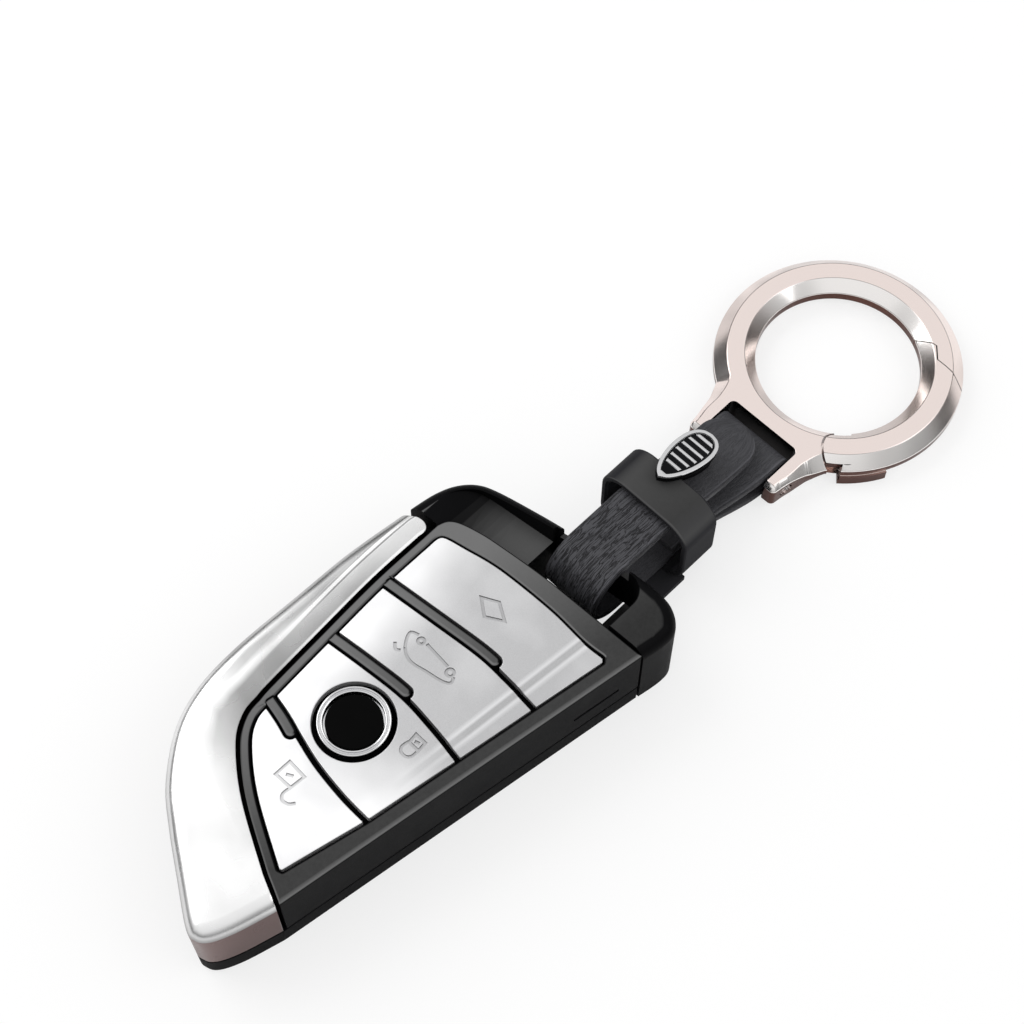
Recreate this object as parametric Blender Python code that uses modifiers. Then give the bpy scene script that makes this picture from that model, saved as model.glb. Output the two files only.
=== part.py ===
"""Key fob cover with a leather strap and a gate ring.

The origin is the middle of the flat back of the cover. +Z points to the buttons and +Y from the tip of the
cover to its end cap. The strap and the ring lie beyond the cap, turned a little to the left. Lengths are in
metres. Shares along X follow the width of the cover and shares along Y its length, unless their names say
otherwise.
"""

import math

import bmesh
import bpy
from mathutils import Vector

# Fits and shared values
fit_gap = 0.0003
wide_gap = 0.0006
cap_gap = 0.0004
weld_distance = 0.000002
overrun = 0.003
clear_share = 0.985
curve_steps = 3
round_steps = 2
round_segments = 32

# Cover
cover_width = 0.0416
cover_length = 0.0858
cover_height = 0.0160
cover_rounding = 0.0024
back_height = 0.0041
case_floor = 0.0014
case_wall = 0.0015
deck_drop = 0.0028
deck_thickness = 0.0010
frame_sink = 0.0003
blade_wall = 0.0016
bar_width = 0.0014
panel_gap = 0.00035
finger_lift = 0.0005
finger_width = 0.0016
finger_inset = 0.00035
groove_width = 0.0009
slit_length = 0.0084
slit_height = 0.0006
slit_depth = 0.0004
slit_rise = 0.0085
slit_y_share = 0.298

# Outline of the cover, from the end of the blade round the tip to the right wall
side_shares = [
    (-0.488, 0.233), (-0.474, 0.099), (-0.442, -0.019), (-0.404, -0.152), (-0.351, -0.251),
    (-0.262, -0.326), (-0.108, -0.392), (0.043, -0.430), (0.216, -0.466), (0.370, -0.4965),
    (0.423, -0.495), (0.457, -0.478), (0.481, -0.437), (0.4976, -0.373), (0.5, -0.360),
]

# Line where the case ends and the cap begins, from the right wall to the blade
seam_shares = [
    (0.5, 0.393), (0.296, 0.373), (0.046, 0.3485), (-0.156, 0.322), (-0.243, 0.308),
    (-0.317, 0.291), (-0.351, 0.275), (-0.3606, 0.255),
]
blade_end_shares = (-0.3726, 0.2517)

# Outer edge of the cap, from the right wall round to the blade
cap_shares = [
    (0.5, 0.397), (0.5, 0.445), (0.483, 0.474), (0.428, 0.494), (0.351, 0.4995), (0.202, 0.485),
    (0.058, 0.464), (-0.071, 0.443), (-0.185, 0.423), (-0.351, 0.390), (-0.4255, 0.367),
    (-0.471, 0.333), (-0.490, 0.291), (-0.490, 0.239),
]

# Edges of the button panel: left from the tip to the cap, far end, and right
panel_left_shares = [
    (0.3966, -0.3205), (0.1322, -0.2797), (-0.0337, -0.2389), (-0.1010, -0.2075), (-0.1250, -0.1748),
    (-0.1418, -0.1469), (-0.1995, -0.0303), (-0.2644, 0.1061), (-0.3053, 0.2214),
]
panel_corner_shares = [(-0.3101, 0.2401), (-0.2933, 0.2517)]
panel_end_shares = [
    (-0.2163, 0.2669), (-0.0733, 0.2925), (0.1635, 0.3170), (0.3341, 0.3263), (0.4231, 0.3368),
]
panel_right_shares = [(0.4351, 0.3322), (0.4303, -0.1515), (0.4063, -0.3193)]

# Edges between the buttons, and how far the black finger beside each edge reaches along it
far_edge_shares = [
    (-0.2644, 0.1061), (-0.0529, 0.1352), (0.1587, 0.1632), (0.2885, 0.1725), (0.4303, 0.1795),
]
middle_edge_shares = [
    (-0.1995, -0.0303), (-0.0481, -0.0093), (0.1250, 0.0117), (0.2813, 0.0186), (0.4375, 0.0210),
]
near_edge_shares = [
    (-0.1370, -0.1562), (-0.0493, -0.1573), (0.0457, -0.1620), (0.1647, -0.1655), (0.3101, -0.1620),
    (0.4303, -0.1538),
]
far_finger_share = 0.60
middle_finger_share = 0.51
near_finger_share = 0.35

# Buttons and the pad below them
plate_rise = 0.0001
plate_thickness = 0.0015
button_travel = 0.0005
pad_sheet_thickness = 0.0009
pad_corner = 0.0012
pad_hole_gap = 0.0004
press_gap = 0.0001

# Centre and size of each press pad, as shares of the cover's width and length
press_pad_shares = [
    (0.135, -0.226, 0.24, 0.060), (0.356, -0.070, 0.085, 0.090), (0.100, 0.078, 0.32, 0.055),
    (0.050, 0.230, 0.38, 0.060),
]

# Round badge in the panel
emblem_x_share = 0.1043
emblem_y_share = -0.0763
emblem_hole_share = 0.07343
emblem_gap = 0.0008
emblem_wall = 0.00045
emblem_floor = 0.0007
emblem_rise = 0.0004
emblem_depth = 0.0022
disc_thickness = 0.0009
boss_inset = 0.0015

# End cap
slot_left = 0.0069
slot_right = 0.0103
slot_corner = 0.0036
slot_rim = 0.0009
rim_half_width = 0.0063
rim_half_height = 0.0041
channel_left = 0.0094
channel_right = 0.0096
channel_depth = 0.0031
ledge_left = 0.0057
ledge_right = 0.0108
ledge_start = 0.0060
ledge_end = 0.0033
ledge_bottom = 0.0020
ledge_top = 0.0032
scoop_radius = 0.0145
scoop_centre = 0.0050
scoop_floor = 0.0109
scoop_rim = 0.0017
prong_thickness = 0.0012
prong_gap = 0.0004
prong_bottom = 0.0030
prong_top = 0.0090
prong_reach = 0.0100

# Strap: turned to the left of +Y, its line starts above the bar of the cap
strap_turn = math.radians(9.0)
strap_x_share = 0.0608
strap_y_share = 0.4569
strap_thickness = 0.0014
strap_width = 0.0102
strap_low_width = 0.0106
strap_pin_width = 0.0134
strap_pin_offset = 0.0006
tongue_lean = 0.0009
bar_axis_rise = 0.0086
bar_bend = 0.0053
pin_distance = 0.0342
pin_rise = 0.00295
pin_bend = 0.00215
pin_slack = 0.0012
tongue_tip_rise = 0.0069
tongue_fade = 0.0150
return_drop = 0.0007
strap_columns = 8
bend_steps = 12

# Strap lines: shares of the distance to the pin, and of the fall along each stretch
tongue_line_shares = [
    (1.053, 0.0), (0.823, 0.243), (0.587, 0.671), (0.4395, 0.886), (0.3215, 0.971), (0.292, 1.0),
]
lower_line_shares = [(0.12, 0.90), (0.233, 0.76), (0.587, 0.68), (0.7935, 0.2), (0.9115, 0.0)]
return_line_shares = [(0.882, 0.15), (0.705, 0.7), (0.366, 1.0)]

# Sleeve round the strap
keeper_width = 0.0180
keeper_bottom = 0.0002
keeper_top = 0.0160
keeper_wall = 0.0012
keeper_length = 0.0073
keeper_start = 0.0107
keeper_corner = 0.0034
apron_start = 0.0054

# Badge of the strap
badge_length = 0.0133
badge_width = 0.0062
badge_start = 0.0147
badge_offset = 0.0011
badge_tip_rise = 0.0183
badge_fall = 0.0032
badge_plate_thickness = 0.0005
badge_base_thickness = 0.0004
pedestal_start = 0.0045
pedestal_end = 0.0009
pedestal_inset = 0.0009
badge_edge_shares = [
    (0.0, 0.0), (0.20, 0.085), (0.36, 0.235), (0.465, 0.43), (0.5, 0.62), (0.475, 0.78), (0.38, 0.90),
    (0.21, 0.975), (0.0, 1.0),
]
snap_share = 0.6391
post_radius = 0.0015
socket_radius = 0.0026
socket_height = 0.0026
socket_floor = 0.0005

# Ring
ring_offset = 0.0006
ring_thickness = 0.0055
ring_inner_radius = 0.0138
ring_inner_flat = 0.0158
ring_outer_flat = 0.0187
ring_outer_radius = 0.0208
ring_inner_low = 0.0019
ring_inner_high = 0.0036
ring_outer_low = 0.0021
ring_outer_high = 0.0034
ring_segments = 72
neck_skin = 0.00005
neck_arc_radius = 0.0165
neck_arc_reach = math.radians(36.0)
ear_half_width = 0.0093
ear_end = 0.0029
ear_corner = 0.0009
window_half_width = 0.0070
window_depth = 0.0055
window_bridge = 0.0028
window_corner = 0.0010
ring_pin_radius = 0.0011
ring_pin_inset = 0.0002
pin_fit = 0.0001

# Neck edge from the ring to the ear: shares of the ear's half width and of the reach from ring to pin
neck_edge_shares = [(1.28, 0.708), (1.183, 0.794), (1.118, 0.8585), (1.032, 1.0), (1.0, 1.083)]

# Gate
gate_radius = 0.0177
gate_angle = math.radians(-45.5)
knuckle_radius = 0.0039
mouth_share = 1.32599
lip_length = 0.0021
lip_start_angle = math.radians(91.4)
lip_end_angle = math.radians(95.4)
mouth_outer_angle = math.radians(68.0)
mouth_inner_angle = math.radians(110.0)
gate_swing = math.radians(35.0)
hinge_slot_bottom = 0.0012
hinge_slot_top = 0.0043
hinge_slot_radius = 0.0023
hinge_tongue_radius = 0.0019
hinge_tongue_bottom = 0.0028
hinge_tongue_top = 0.0040
hinge_tongue_reach = 0.0055
gate_pin_radius = 0.0008
gate_pin_bottom = 0.0004
gate_pin_top = 0.0050
pad_inner_radius = 0.0172
pad_outer_radius = 0.0211
pad_height = 0.0021
pad_start_angle = math.radians(-49.0)
pad_end_angle = math.radians(-27.0)
spring_radius = 0.00125
spring_wire = 0.00015
spring_pitch = 0.0005
spring_turns = 1.6
spring_points = 24

# Sizes that follow from the sizes above
emblem_hole_radius = emblem_hole_share * cover_length
emblem_radius = emblem_hole_radius - emblem_gap
boss_radius = emblem_radius - boss_inset
ring_reach = ring_inner_flat + window_bridge + window_depth
mouth_reach = mouth_share * gate_radius
snap_distance = badge_start + snap_share * badge_length
parting = back_height + fit_gap
deck_top = cover_height - deck_drop
deck_bottom = deck_top - deck_thickness
plate_top = cover_height + plate_rise
plate_bottom = plate_top - plate_thickness
pad_top = plate_bottom - button_travel - press_gap
sheet_top = deck_bottom - fit_gap
sheet_bottom = sheet_top - pad_sheet_thickness
emblem_top = cover_height + emblem_rise
emblem_bottom = emblem_top - emblem_depth
boss_top = emblem_bottom - fit_gap
case_inset = blade_wall + fit_gap
frame_edge = panel_gap + bar_width
blade_edge = frame_edge + wide_gap

# Colours: red, green, blue, then roughness and metallic
black_shell = ((0.028, 0.028, 0.030), 0.55, 0.0)
black_cap = ((0.022, 0.022, 0.024), 0.50, 0.0)
bright_blade = ((0.82, 0.82, 0.83), 0.16, 1.0)
satin_button = ((0.80, 0.80, 0.81), 0.30, 1.0)
soft_pad = ((0.06, 0.06, 0.065), 0.80, 0.0)
bright_trim = ((0.85, 0.85, 0.86), 0.12, 1.0)
disc_black = ((0.006, 0.006, 0.007), 0.25, 0.0)
black_leather = ((0.032, 0.032, 0.036), 0.62, 0.0)
black_metal = ((0.03, 0.03, 0.032), 0.35, 0.6)
warm_nickel = ((0.70, 0.62, 0.58), 0.20, 1.0)
steel = ((0.56, 0.56, 0.57), 0.30, 1.0)


def empty_scene():
    """Take away what the file holds at the start."""
    for item in list(bpy.data.objects):
        bpy.data.objects.remove(item, do_unlink=True)


def new_collection(name):
    """A collection of its own in the scene."""
    group = bpy.data.collections.new(name)
    bpy.context.scene.collection.children.link(group)
    return group


def move_to(item, group):
    """Put an object in one collection only."""
    for other in list(item.users_collection):
        other.objects.unlink(item)
    group.objects.link(item)


def as_part(item, name, look):
    """Name an object as a part and give it its own material."""
    item.name = name
    item.data.name = name
    colour, roughness, metallic = look
    surface = bpy.data.materials.new(name)
    surface.use_nodes = True
    shader = surface.node_tree.nodes["Principled BSDF"]
    shader.inputs["Base Color"].default_value = (*colour, 1.0)
    shader.inputs["Roughness"].default_value = roughness
    shader.inputs["Metallic"].default_value = metallic
    item.data.materials.clear()
    item.data.materials.append(surface)
    move_to(item, bpy.data.collections["key_fob_cover"])
    return item


def shape_with(item, tool, operation):
    """Join, cut or trim an object with another, which becomes a cutter."""
    step = item.modifiers.new(operation.lower(), "BOOLEAN")
    step.operation = operation
    step.solver = "EXACT"
    step.object = tool
    tool.hide_render = True
    tool.display_type = "WIRE"
    move_to(tool, bpy.data.collections["cutters"])


def cut(item, *tools):
    """Take the shape of each tool out of an object."""
    for tool in tools:
        shape_with(item, tool, "DIFFERENCE")


def join(item, *tools):
    """Add the shape of each tool to an object."""
    for tool in tools:
        shape_with(item, tool, "UNION")


def trim(item, *tools):
    """Keep only what an object shares with each tool."""
    for tool in tools:
        shape_with(item, tool, "INTERSECT")


def smooth(points):
    """Points on a soft curve through the given points."""
    line = []
    last = len(points) - 1
    for index in range(last):
        before = points[max(index - 1, 0)]
        start = points[index]
        end = points[index + 1]
        after = points[min(index + 2, last)]
        for step in range(curve_steps):
            t = step / curve_steps
            line.append(0.5 * (
                start * 2.0 + (end - before) * t
                + (before * 2.0 - start * 5.0 + end * 4.0 - after) * t ** 2
                + (start * 3.0 - before - end * 3.0 + after) * t ** 3
            ))
    line.append(points[last])
    return line


def placed(shares, width=cover_width, length=cover_length):
    """Points at shares of a width and a length."""
    return [Vector((x * width, y * length)) for x, y in shares]


def shifted(points, distance):
    """Points beside a line, to its left, without those that come too close to another stretch of it."""
    moved = []
    for index, point in enumerate(points):
        run = (points[min(index + 1, len(points) - 1)] - points[max(index - 1, 0)]).normalized()
        place = point + Vector((-run.y, run.x)) * distance
        nearest = min((place - other).length for other in points)
        if nearest >= abs(distance) * clear_share:
            moved.append(place)
    return moved


def extended(points, reach):
    """A line made longer at both ends."""
    first = (points[0] - points[1]).normalized() * reach
    last = (points[-1] - points[-2]).normalized() * reach
    return [points[0] + first] + points + [points[-1] + last]


def arc(centre, radius, start, end, steps):
    """Points along a part of a circle."""
    angles = [start + (end - start) * index / steps for index in range(steps + 1)]
    return [Vector((centre[0] + radius * math.cos(a), centre[1] + radius * math.sin(a))) for a in angles]


def rounded_rectangle(centre, width, height, corner, steps=4):
    """Outline of a rectangle with round corners."""
    line = []
    for turn, (side_x, side_y) in enumerate([(1, 1), (-1, 1), (-1, -1), (1, -1)]):
        middle = (centre[0] + side_x * (width / 2 - corner), centre[1] + side_y * (height / 2 - corner))
        line += arc(middle, corner, math.pi / 2 * turn, math.pi / 2 * (turn + 1), steps)
    return line


def rectangle(left, right, low, high):
    """Outline of a plain rectangle."""
    return [Vector((left, low)), Vector((right, low)), Vector((right, high)), Vector((left, high))]


def slab(outline, bottom, top, rounding=0.0):
    """A flat outline made into a closed mesh from one height to another, with round edges if asked."""
    curve = bpy.data.curves.new("outline", "CURVE")
    curve.dimensions = "2D"
    curve.fill_mode = "BOTH"
    curve.extrude = (top - bottom) / 2 - rounding
    curve.bevel_depth = rounding
    curve.bevel_resolution = round_steps
    curve.offset = -rounding
    spline = curve.splines.new("POLY")
    spline.points.add(len(outline) - 1)
    for point, place in zip(spline.points, outline):
        point.co = (place[0], place[1], 0.0, 1.0)
    spline.use_cyclic_u = True
    holder = bpy.data.objects.new("outline", curve)
    holder.location.z = (bottom + top) / 2
    return as_mesh(holder)


def as_mesh(holder):
    """Turn a curve object into a mesh object with welded caps."""
    bpy.context.scene.collection.objects.link(holder)
    bpy.context.view_layer.update()
    found = holder.evaluated_get(bpy.context.evaluated_depsgraph_get())
    mesh = bpy.data.meshes.new_from_object(found)
    shell = bmesh.new()
    shell.from_mesh(mesh)
    bmesh.ops.remove_doubles(shell, verts=shell.verts, dist=weld_distance)
    bmesh.ops.recalc_face_normals(shell, faces=shell.faces)
    shell.to_mesh(mesh)
    shell.free()
    item = bpy.data.objects.new("shape", mesh)
    item.matrix_world = holder.matrix_world.copy()
    bpy.data.objects.remove(holder, do_unlink=True)
    bpy.context.scene.collection.objects.link(item)
    return item


def cylinder(radius, bottom, top, centre=(0.0, 0.0), segments=round_segments):
    """An upright round bar between two heights."""
    mesh = bpy.data.meshes.new("round")
    shell = bmesh.new()
    bmesh.ops.create_cone(shell, cap_ends=True, segments=segments, radius1=radius, radius2=radius,
                          depth=top - bottom)
    shell.to_mesh(mesh)
    shell.free()
    mesh.shade_smooth()
    mesh.set_sharp_from_angle(angle=math.radians(30.0))
    item = bpy.data.objects.new("round", mesh)
    item.location = (centre[0], centre[1], (bottom + top) / 2)
    bpy.context.scene.collection.objects.link(item)
    return item


def turned(profile, segments=round_segments, closed=False):
    """A shape turned about Z from a profile of radius and height, outer side from top to bottom."""
    mesh = bpy.data.meshes.new("turned")
    shell = bmesh.new()
    corners = [shell.verts.new((radius, 0.0, height)) for radius, height in profile]
    for first, second in zip(corners, corners[1:]):
        shell.edges.new((first, second))
    if closed:
        shell.edges.new((corners[-1], corners[0]))
    shell.to_mesh(mesh)
    shell.free()
    item = bpy.data.objects.new("turned", mesh)
    bpy.context.scene.collection.objects.link(item)
    step = item.modifiers.new("screw", "SCREW")
    step.steps = segments
    step.render_steps = segments
    step.use_merge_vertices = True
    step.merge_threshold = weld_distance
    return item


def frame_at(name, place, turn=0.0, parent=None):
    """An empty that pieces are placed from."""
    item = bpy.data.objects.new(name, None)
    item.location = place
    item.rotation_euler.z = turn
    item.parent = parent
    item.empty_display_size = fit_gap
    move_to(item, bpy.data.collections["key_fob_cover"])
    return item


def origin_to(item, place):
    """Move an object's origin without moving its shape."""
    shift = Vector(place) - item.location
    for corner in item.data.vertices:
        corner.co -= shift
    item.location = place


def side_line():
    """Left side and tip of the cover."""
    return smooth(placed(side_shares))


def seam_line():
    """End of the case, where the cap begins."""
    return smooth(placed(seam_shares))


def blade_end():
    """Inner and outer end of the blade beside the cap."""
    return placed([blade_end_shares, side_shares[0]])


def case_outline():
    """The whole case in plan, up to the seam."""
    return side_line() + seam_line() + [blade_end()[0]]


def full_form():
    """The rounded outer form of the case and the cap together."""
    outline = side_line() + smooth(placed(cap_shares))
    return slab(outline, -cover_rounding - overrun, cover_height, cover_rounding)


def panel_left_line():
    """Left edge of the button panel, from the tip to the cap."""
    return smooth(placed(panel_left_shares))


def panel_outline():
    """Outer edge of the four buttons together."""
    corner = placed(panel_corner_shares)
    far_end = smooth(placed(panel_end_shares))
    return panel_left_line() + corner + far_end + placed(panel_right_shares)


def window_outline():
    """The panel with a running gap round it."""
    line = panel_outline()
    return shifted(line + line[:2], panel_gap)[1:-1]


def beside_panel(distance):
    """A line that follows the left edge of the panel at a distance, from the right wall to the cap."""
    right_wall = cover_width / 2
    start = Vector((right_wall, side_line()[-1].y + blade_edge - distance))
    return [start] + shifted(panel_left_line(), distance)


def inner_outline(inset, right_inset, open_end):
    """The case in plan, set in from its left side and its right wall, up to the seam or open past it."""
    line = shifted(side_line(), inset)
    turn_y = side_line()[-1].y + wide_gap
    right = cover_width / 2 - right_inset
    if right_inset:
        line = [point for point in line if point.x < right and not (point.x > 0.0 and point.y > turn_y)]
        line.append(Vector((right, line[-1].y)))
    else:
        line += [Vector((line[-1].x, turn_y)), Vector((right, turn_y))]
    if open_end:
        far = cover_length / 2 + overrun
        return line + [Vector((right, far)), Vector((line[0].x, far))]
    end = blade_end()
    share = (line[0].x - end[0].x) / (end[1].x - end[0].x)
    return line + seam_line() + [end[0], end[0].lerp(end[1], share)]


def band(low, high):
    """A strip of the panel between two lines, or beyond one of them."""
    far = cover_length
    if low is None:
        low = [Vector((high[0].x, -far)), Vector((high[-1].x, -far))]
    if high is None:
        high = [Vector((low[0].x, far)), Vector((low[-1].x, far))]
    return slab(low + high[::-1], plate_bottom - overrun, plate_top + overrun)


def divider(shares):
    """A line between two buttons, carried past the panel on both sides."""
    return smooth(placed(shares))


def finger_outline(line, side, reach_share, grow):
    """Outline of a raised finger beside a line: straight start in the left bar, round end."""
    middle = shifted(line, side * (finger_inset + finger_width / 2))
    count = max(3, round(len(middle) * reach_share))
    middle = middle[:count]
    start = (middle[0] - middle[1]).normalized() * (panel_gap + bar_width / 2)
    middle = [middle[0] + start] + middle
    half = finger_width / 2 + grow
    run = middle[-1] - middle[-2]
    heading = math.atan2(run.y, run.x)
    end = arc(middle[-1], half, heading - math.pi / 2, heading + math.pi / 2, 8)
    return shifted(middle, -half)[:-1] + end + shifted(middle, half)[:-1][::-1]


def fingers(grow, bottom, top):
    """The three raised fingers, or the room for them."""
    rows = [
        (divider(far_edge_shares), 1, far_finger_share),
        (divider(middle_edge_shares), 1, middle_finger_share),
        (divider(near_edge_shares), -1, near_finger_share),
    ]
    return [slab(finger_outline(line, side, reach, grow), bottom, top) for line, side, reach in rows]


def make_back_shell():
    item = slab(case_outline(), 0.0, back_height)
    cut(item, slab(inner_outline(case_wall, case_wall, True), case_floor, back_height + overrun))
    return as_part(item, "back_shell", black_shell)


def emblem_centre():
    return (emblem_x_share * cover_width, emblem_y_share * cover_length)


def press_pads(grow, bottom, top):
    """The four pads between the buttons and the fob, or the holes for them."""
    pads = []
    for x, y, width, height in press_pad_shares:
        centre = (x * cover_width, y * cover_length)
        outline = rounded_rectangle(centre, width * cover_width + 2 * grow, height * cover_length + 2 * grow,
                                    pad_corner + grow)
        pads.append(slab(outline, bottom, top))
    return pads


def make_front_shell():
    item = slab(inner_outline(case_inset, 0.0, False), parting, deck_top)
    cut(item, slab(inner_outline(case_inset + case_wall, case_wall, True), parting - overrun, deck_bottom))
    join(item, slab(beside_panel(frame_edge) + seam_line()[::-1], deck_top - frame_sink, cover_height))
    cut(item, slab(window_outline(), deck_top, cover_height + overrun))
    join(item, *fingers(0.0, deck_top - frame_sink, cover_height + finger_lift))
    cut(item, *press_pads(pad_hole_gap, deck_bottom - overrun, deck_top + overrun))
    join(item, cylinder(boss_radius, deck_top - frame_sink, boss_top, emblem_centre()))
    right = cover_width / 2
    middle = slit_y_share * cover_length
    slit = rectangle(right - slit_depth, right + overrun, middle - slit_length / 2, middle + slit_length / 2)
    cut(item, slab(slit, slit_rise - slit_height / 2, slit_rise + slit_height / 2))
    return as_part(item, "front_shell", black_shell)


def make_blade_trim():
    item = full_form()
    right = cover_width / 2
    low = -cover_length / 2 - overrun
    end = blade_end()
    beyond = end[1] + (end[1] - end[0])
    edge = beside_panel(blade_edge)
    zone = [Vector((right + overrun, low)), Vector((right + overrun, edge[0].y))] + edge + [end[0], beyond]
    zone.append(Vector((beyond.x, low)))
    trim(item, slab(zone, parting, cover_height + overrun))
    room = inner_outline(case_inset - fit_gap, 0.0, True)
    cut(item, slab(room, parting - overrun, deck_top + fit_gap))
    return as_part(item, "blade_trim", bright_blade)


def make_buttons():
    """The four buttons: the panel cut by the lines between them and by the fingers."""
    far = extended(divider(far_edge_shares), overrun)
    middle = extended(divider(middle_edge_shares), overrun)
    near = extended(divider(near_edge_shares), overrun)
    bands = [
        ("unlock_button", None, shifted(near, -groove_width)),
        ("lock_button", near, middle),
        ("boot_button", shifted(middle, groove_width), far),
        ("function_button", shifted(far, groove_width), None),
    ]
    room = fingers(panel_gap, plate_bottom - overrun, plate_top + overrun)
    hole = cylinder(emblem_hole_radius, plate_bottom - overrun, plate_top + overrun, emblem_centre(), 48)
    near_fingers = {"unlock_button": [2], "lock_button": [], "boot_button": [1], "function_button": [0]}
    for (name, low, high), pad in zip(bands, press_pad_shares):
        item = slab(panel_outline(), plate_bottom, plate_top)
        trim(item, band(low, high))
        cut(item, *[room[index] for index in near_fingers[name]])
        if name == "lock_button":
            cut(item, hole)
        origin_to(item, (pad[0] * cover_width, pad[1] * cover_length, plate_bottom))
        as_part(item, name, satin_button)


def make_button_pad():
    item = slab(panel_outline(), sheet_bottom, sheet_top)
    join(item, *press_pads(0.0, sheet_top - pad_sheet_thickness / 2, pad_top))
    return as_part(item, "button_pad", soft_pad)


def make_emblem():
    inner = emblem_radius - emblem_wall
    seat = emblem_bottom + emblem_floor
    ring = turned([
        (0.0, seat), (inner, seat), (inner, emblem_top), (emblem_radius, emblem_top),
        (emblem_radius, emblem_bottom), (0.0, emblem_bottom),
    ], 48)
    ring.location = (*emblem_centre(), 0.0)
    as_part(ring, "emblem_ring", bright_trim)
    disc_bottom = seat + fit_gap
    disc = cylinder(inner - fit_gap, disc_bottom, disc_bottom + disc_thickness, emblem_centre(), 48)
    as_part(disc, "emblem_disc", disc_black)


def make_end_cap(strap_frame):
    """Block beyond the seam with the slot for the strap, the bar across it and two prongs into the case."""
    item = full_form()
    right = cover_width / 2
    far = cover_length / 2 + overrun
    end = blade_end()
    slope = (end[1] - end[0]).normalized()
    across = Vector((slope.y, -slope.x)) * wide_gap
    zone = [Vector((right + overrun, far)), Vector((right + overrun, seam_line()[0].y + cap_gap))]
    zone += shifted(seam_line(), -cap_gap)
    zone += [end[0] + across, end[1] + across + slope * overrun]
    zone.append(Vector((zone[-1].x, far)))
    trim(item, slab(zone, 0.0, cover_height + overrun))

    slot_start = -cover_width / 2
    rim = rim_line(slot_rim)
    corner_x = slot_right - slot_corner
    rise = (height_on(rim, corner_x) - height_on(rim, 0.0)) / corner_x
    slope = math.atan(rise)
    corner_y = height_on(rim, corner_x) - slot_corner / math.cos(slope)
    corner = arc((corner_x, corner_y), slot_corner, 0.0, math.pi / 2 + slope, 7)
    edge = [point for point in rim if -slot_left < point.x < corner[-1].x - fit_gap and point.y > -slot_left]
    slot = [Vector((-slot_left, slot_start)), Vector((slot_right, slot_start))] + corner + edge
    slot.append(Vector((-slot_left, height_on(rim, -slot_left))))
    rim_top = bar_axis_rise + rim_half_height
    rim_bottom = bar_axis_rise - rim_half_height
    tools = [
        slab(slot, -overrun, cover_height + overrun),
        slab(rectangle(-rim_half_width, rim_half_width, -channel_depth, overrun), rim_top,
             cover_height + overrun),
        slab(rectangle(-channel_left, channel_right, -channel_depth, overrun), -overrun, rim_bottom),
    ]
    scoop = cylinder(scoop_radius, slot_start, -slot_start, (0.0, 0.0), 64)
    scoop.rotation_euler.x = -math.pi / 2
    scoop.location = (-scoop_centre, 0.0, scoop_floor + scoop_radius)
    edge = [point for point in rim_line(scoop_rim) if point.x < 0.0 and point.y > 2 * slot_start]
    edge = [Vector((0.0, height_on(rim_line(scoop_rim), 0.0)))] + edge
    edge += [Vector((edge[-1].x, 2 * slot_start)), Vector((0.0, 2 * slot_start))]
    scoop_side = slab(edge, scoop_floor - overrun, cover_height + overrun)
    for tool in tools + [scoop, scoop_side]:
        tool.parent = strap_frame
    trim(scoop, scoop_side)
    cut(item, *tools, scoop)
    ledge = slab(rectangle(ledge_left, ledge_right, -ledge_start, ledge_end), ledge_bottom, ledge_top)
    ledge.parent = strap_frame
    join(item, ledge)

    for side, line_x, line_y in [
        (-1, shifted(side_line(), case_inset + case_wall)[0].x, end[0].y),
        (1, right - case_wall, seam_line()[0].y),
    ]:
        outer = line_x - side * prong_gap
        inner = outer - side * prong_thickness
        start = line_y - prong_reach
        stop = line_y + 2 * prong_gap + prong_thickness
        prong = rectangle(min(outer, inner), max(outer, inner), start, stop)
        join(item, slab(prong, prong_bottom, prong_top))
    origin_to(item, (*strap_frame.location.xy, item.location.z))
    return as_part(item, "end_cap", black_cap)


def ease(share):
    """A soft start and stop between nothing and all."""
    share = min(max(share, 0.0), 1.0)
    return share * share * (3.0 - 2.0 * share)


def on_strap(point):
    """A point in plan, as distance across and along the strap."""
    start = Vector((strap_x_share * cover_width, strap_y_share * cover_length))
    apart = point - start
    return Vector((
        apart.x * math.cos(strap_turn) + apart.y * math.sin(strap_turn),
        apart.y * math.cos(strap_turn) - apart.x * math.sin(strap_turn),
    ))


def rim_line(inset):
    """The outer edge of the cap set in by a distance, seen from the strap, from right to left."""
    line = smooth(placed(cap_shares))
    middles = [first.lerp(second, 0.5) for first, second in zip(line, line[1:])]
    return [on_strap(point) for point in shifted(middles, inset)]


def strap_stretch(shares, start, fall):
    """Points of one stretch of the strap: distance from the bar, height."""
    return [Vector((t * pin_distance, start + z * fall)) for t, z in shares]


def tongue_line():
    top = bar_axis_rise + bar_bend
    return smooth(strap_stretch(tongue_line_shares, tongue_tip_rise, top - tongue_tip_rise))


def lower_line():
    bottom = bar_axis_rise - bar_bend
    low = pin_rise - pin_bend
    stretch = strap_stretch(lower_line_shares, low, bottom - low)
    return smooth([Vector((0.0, bottom))] + stretch + [Vector((pin_distance, low))])


def return_line():
    top = pin_rise + pin_bend
    return smooth([Vector((pin_distance, top))] + strap_stretch(return_line_shares, top, -return_drop))


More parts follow.
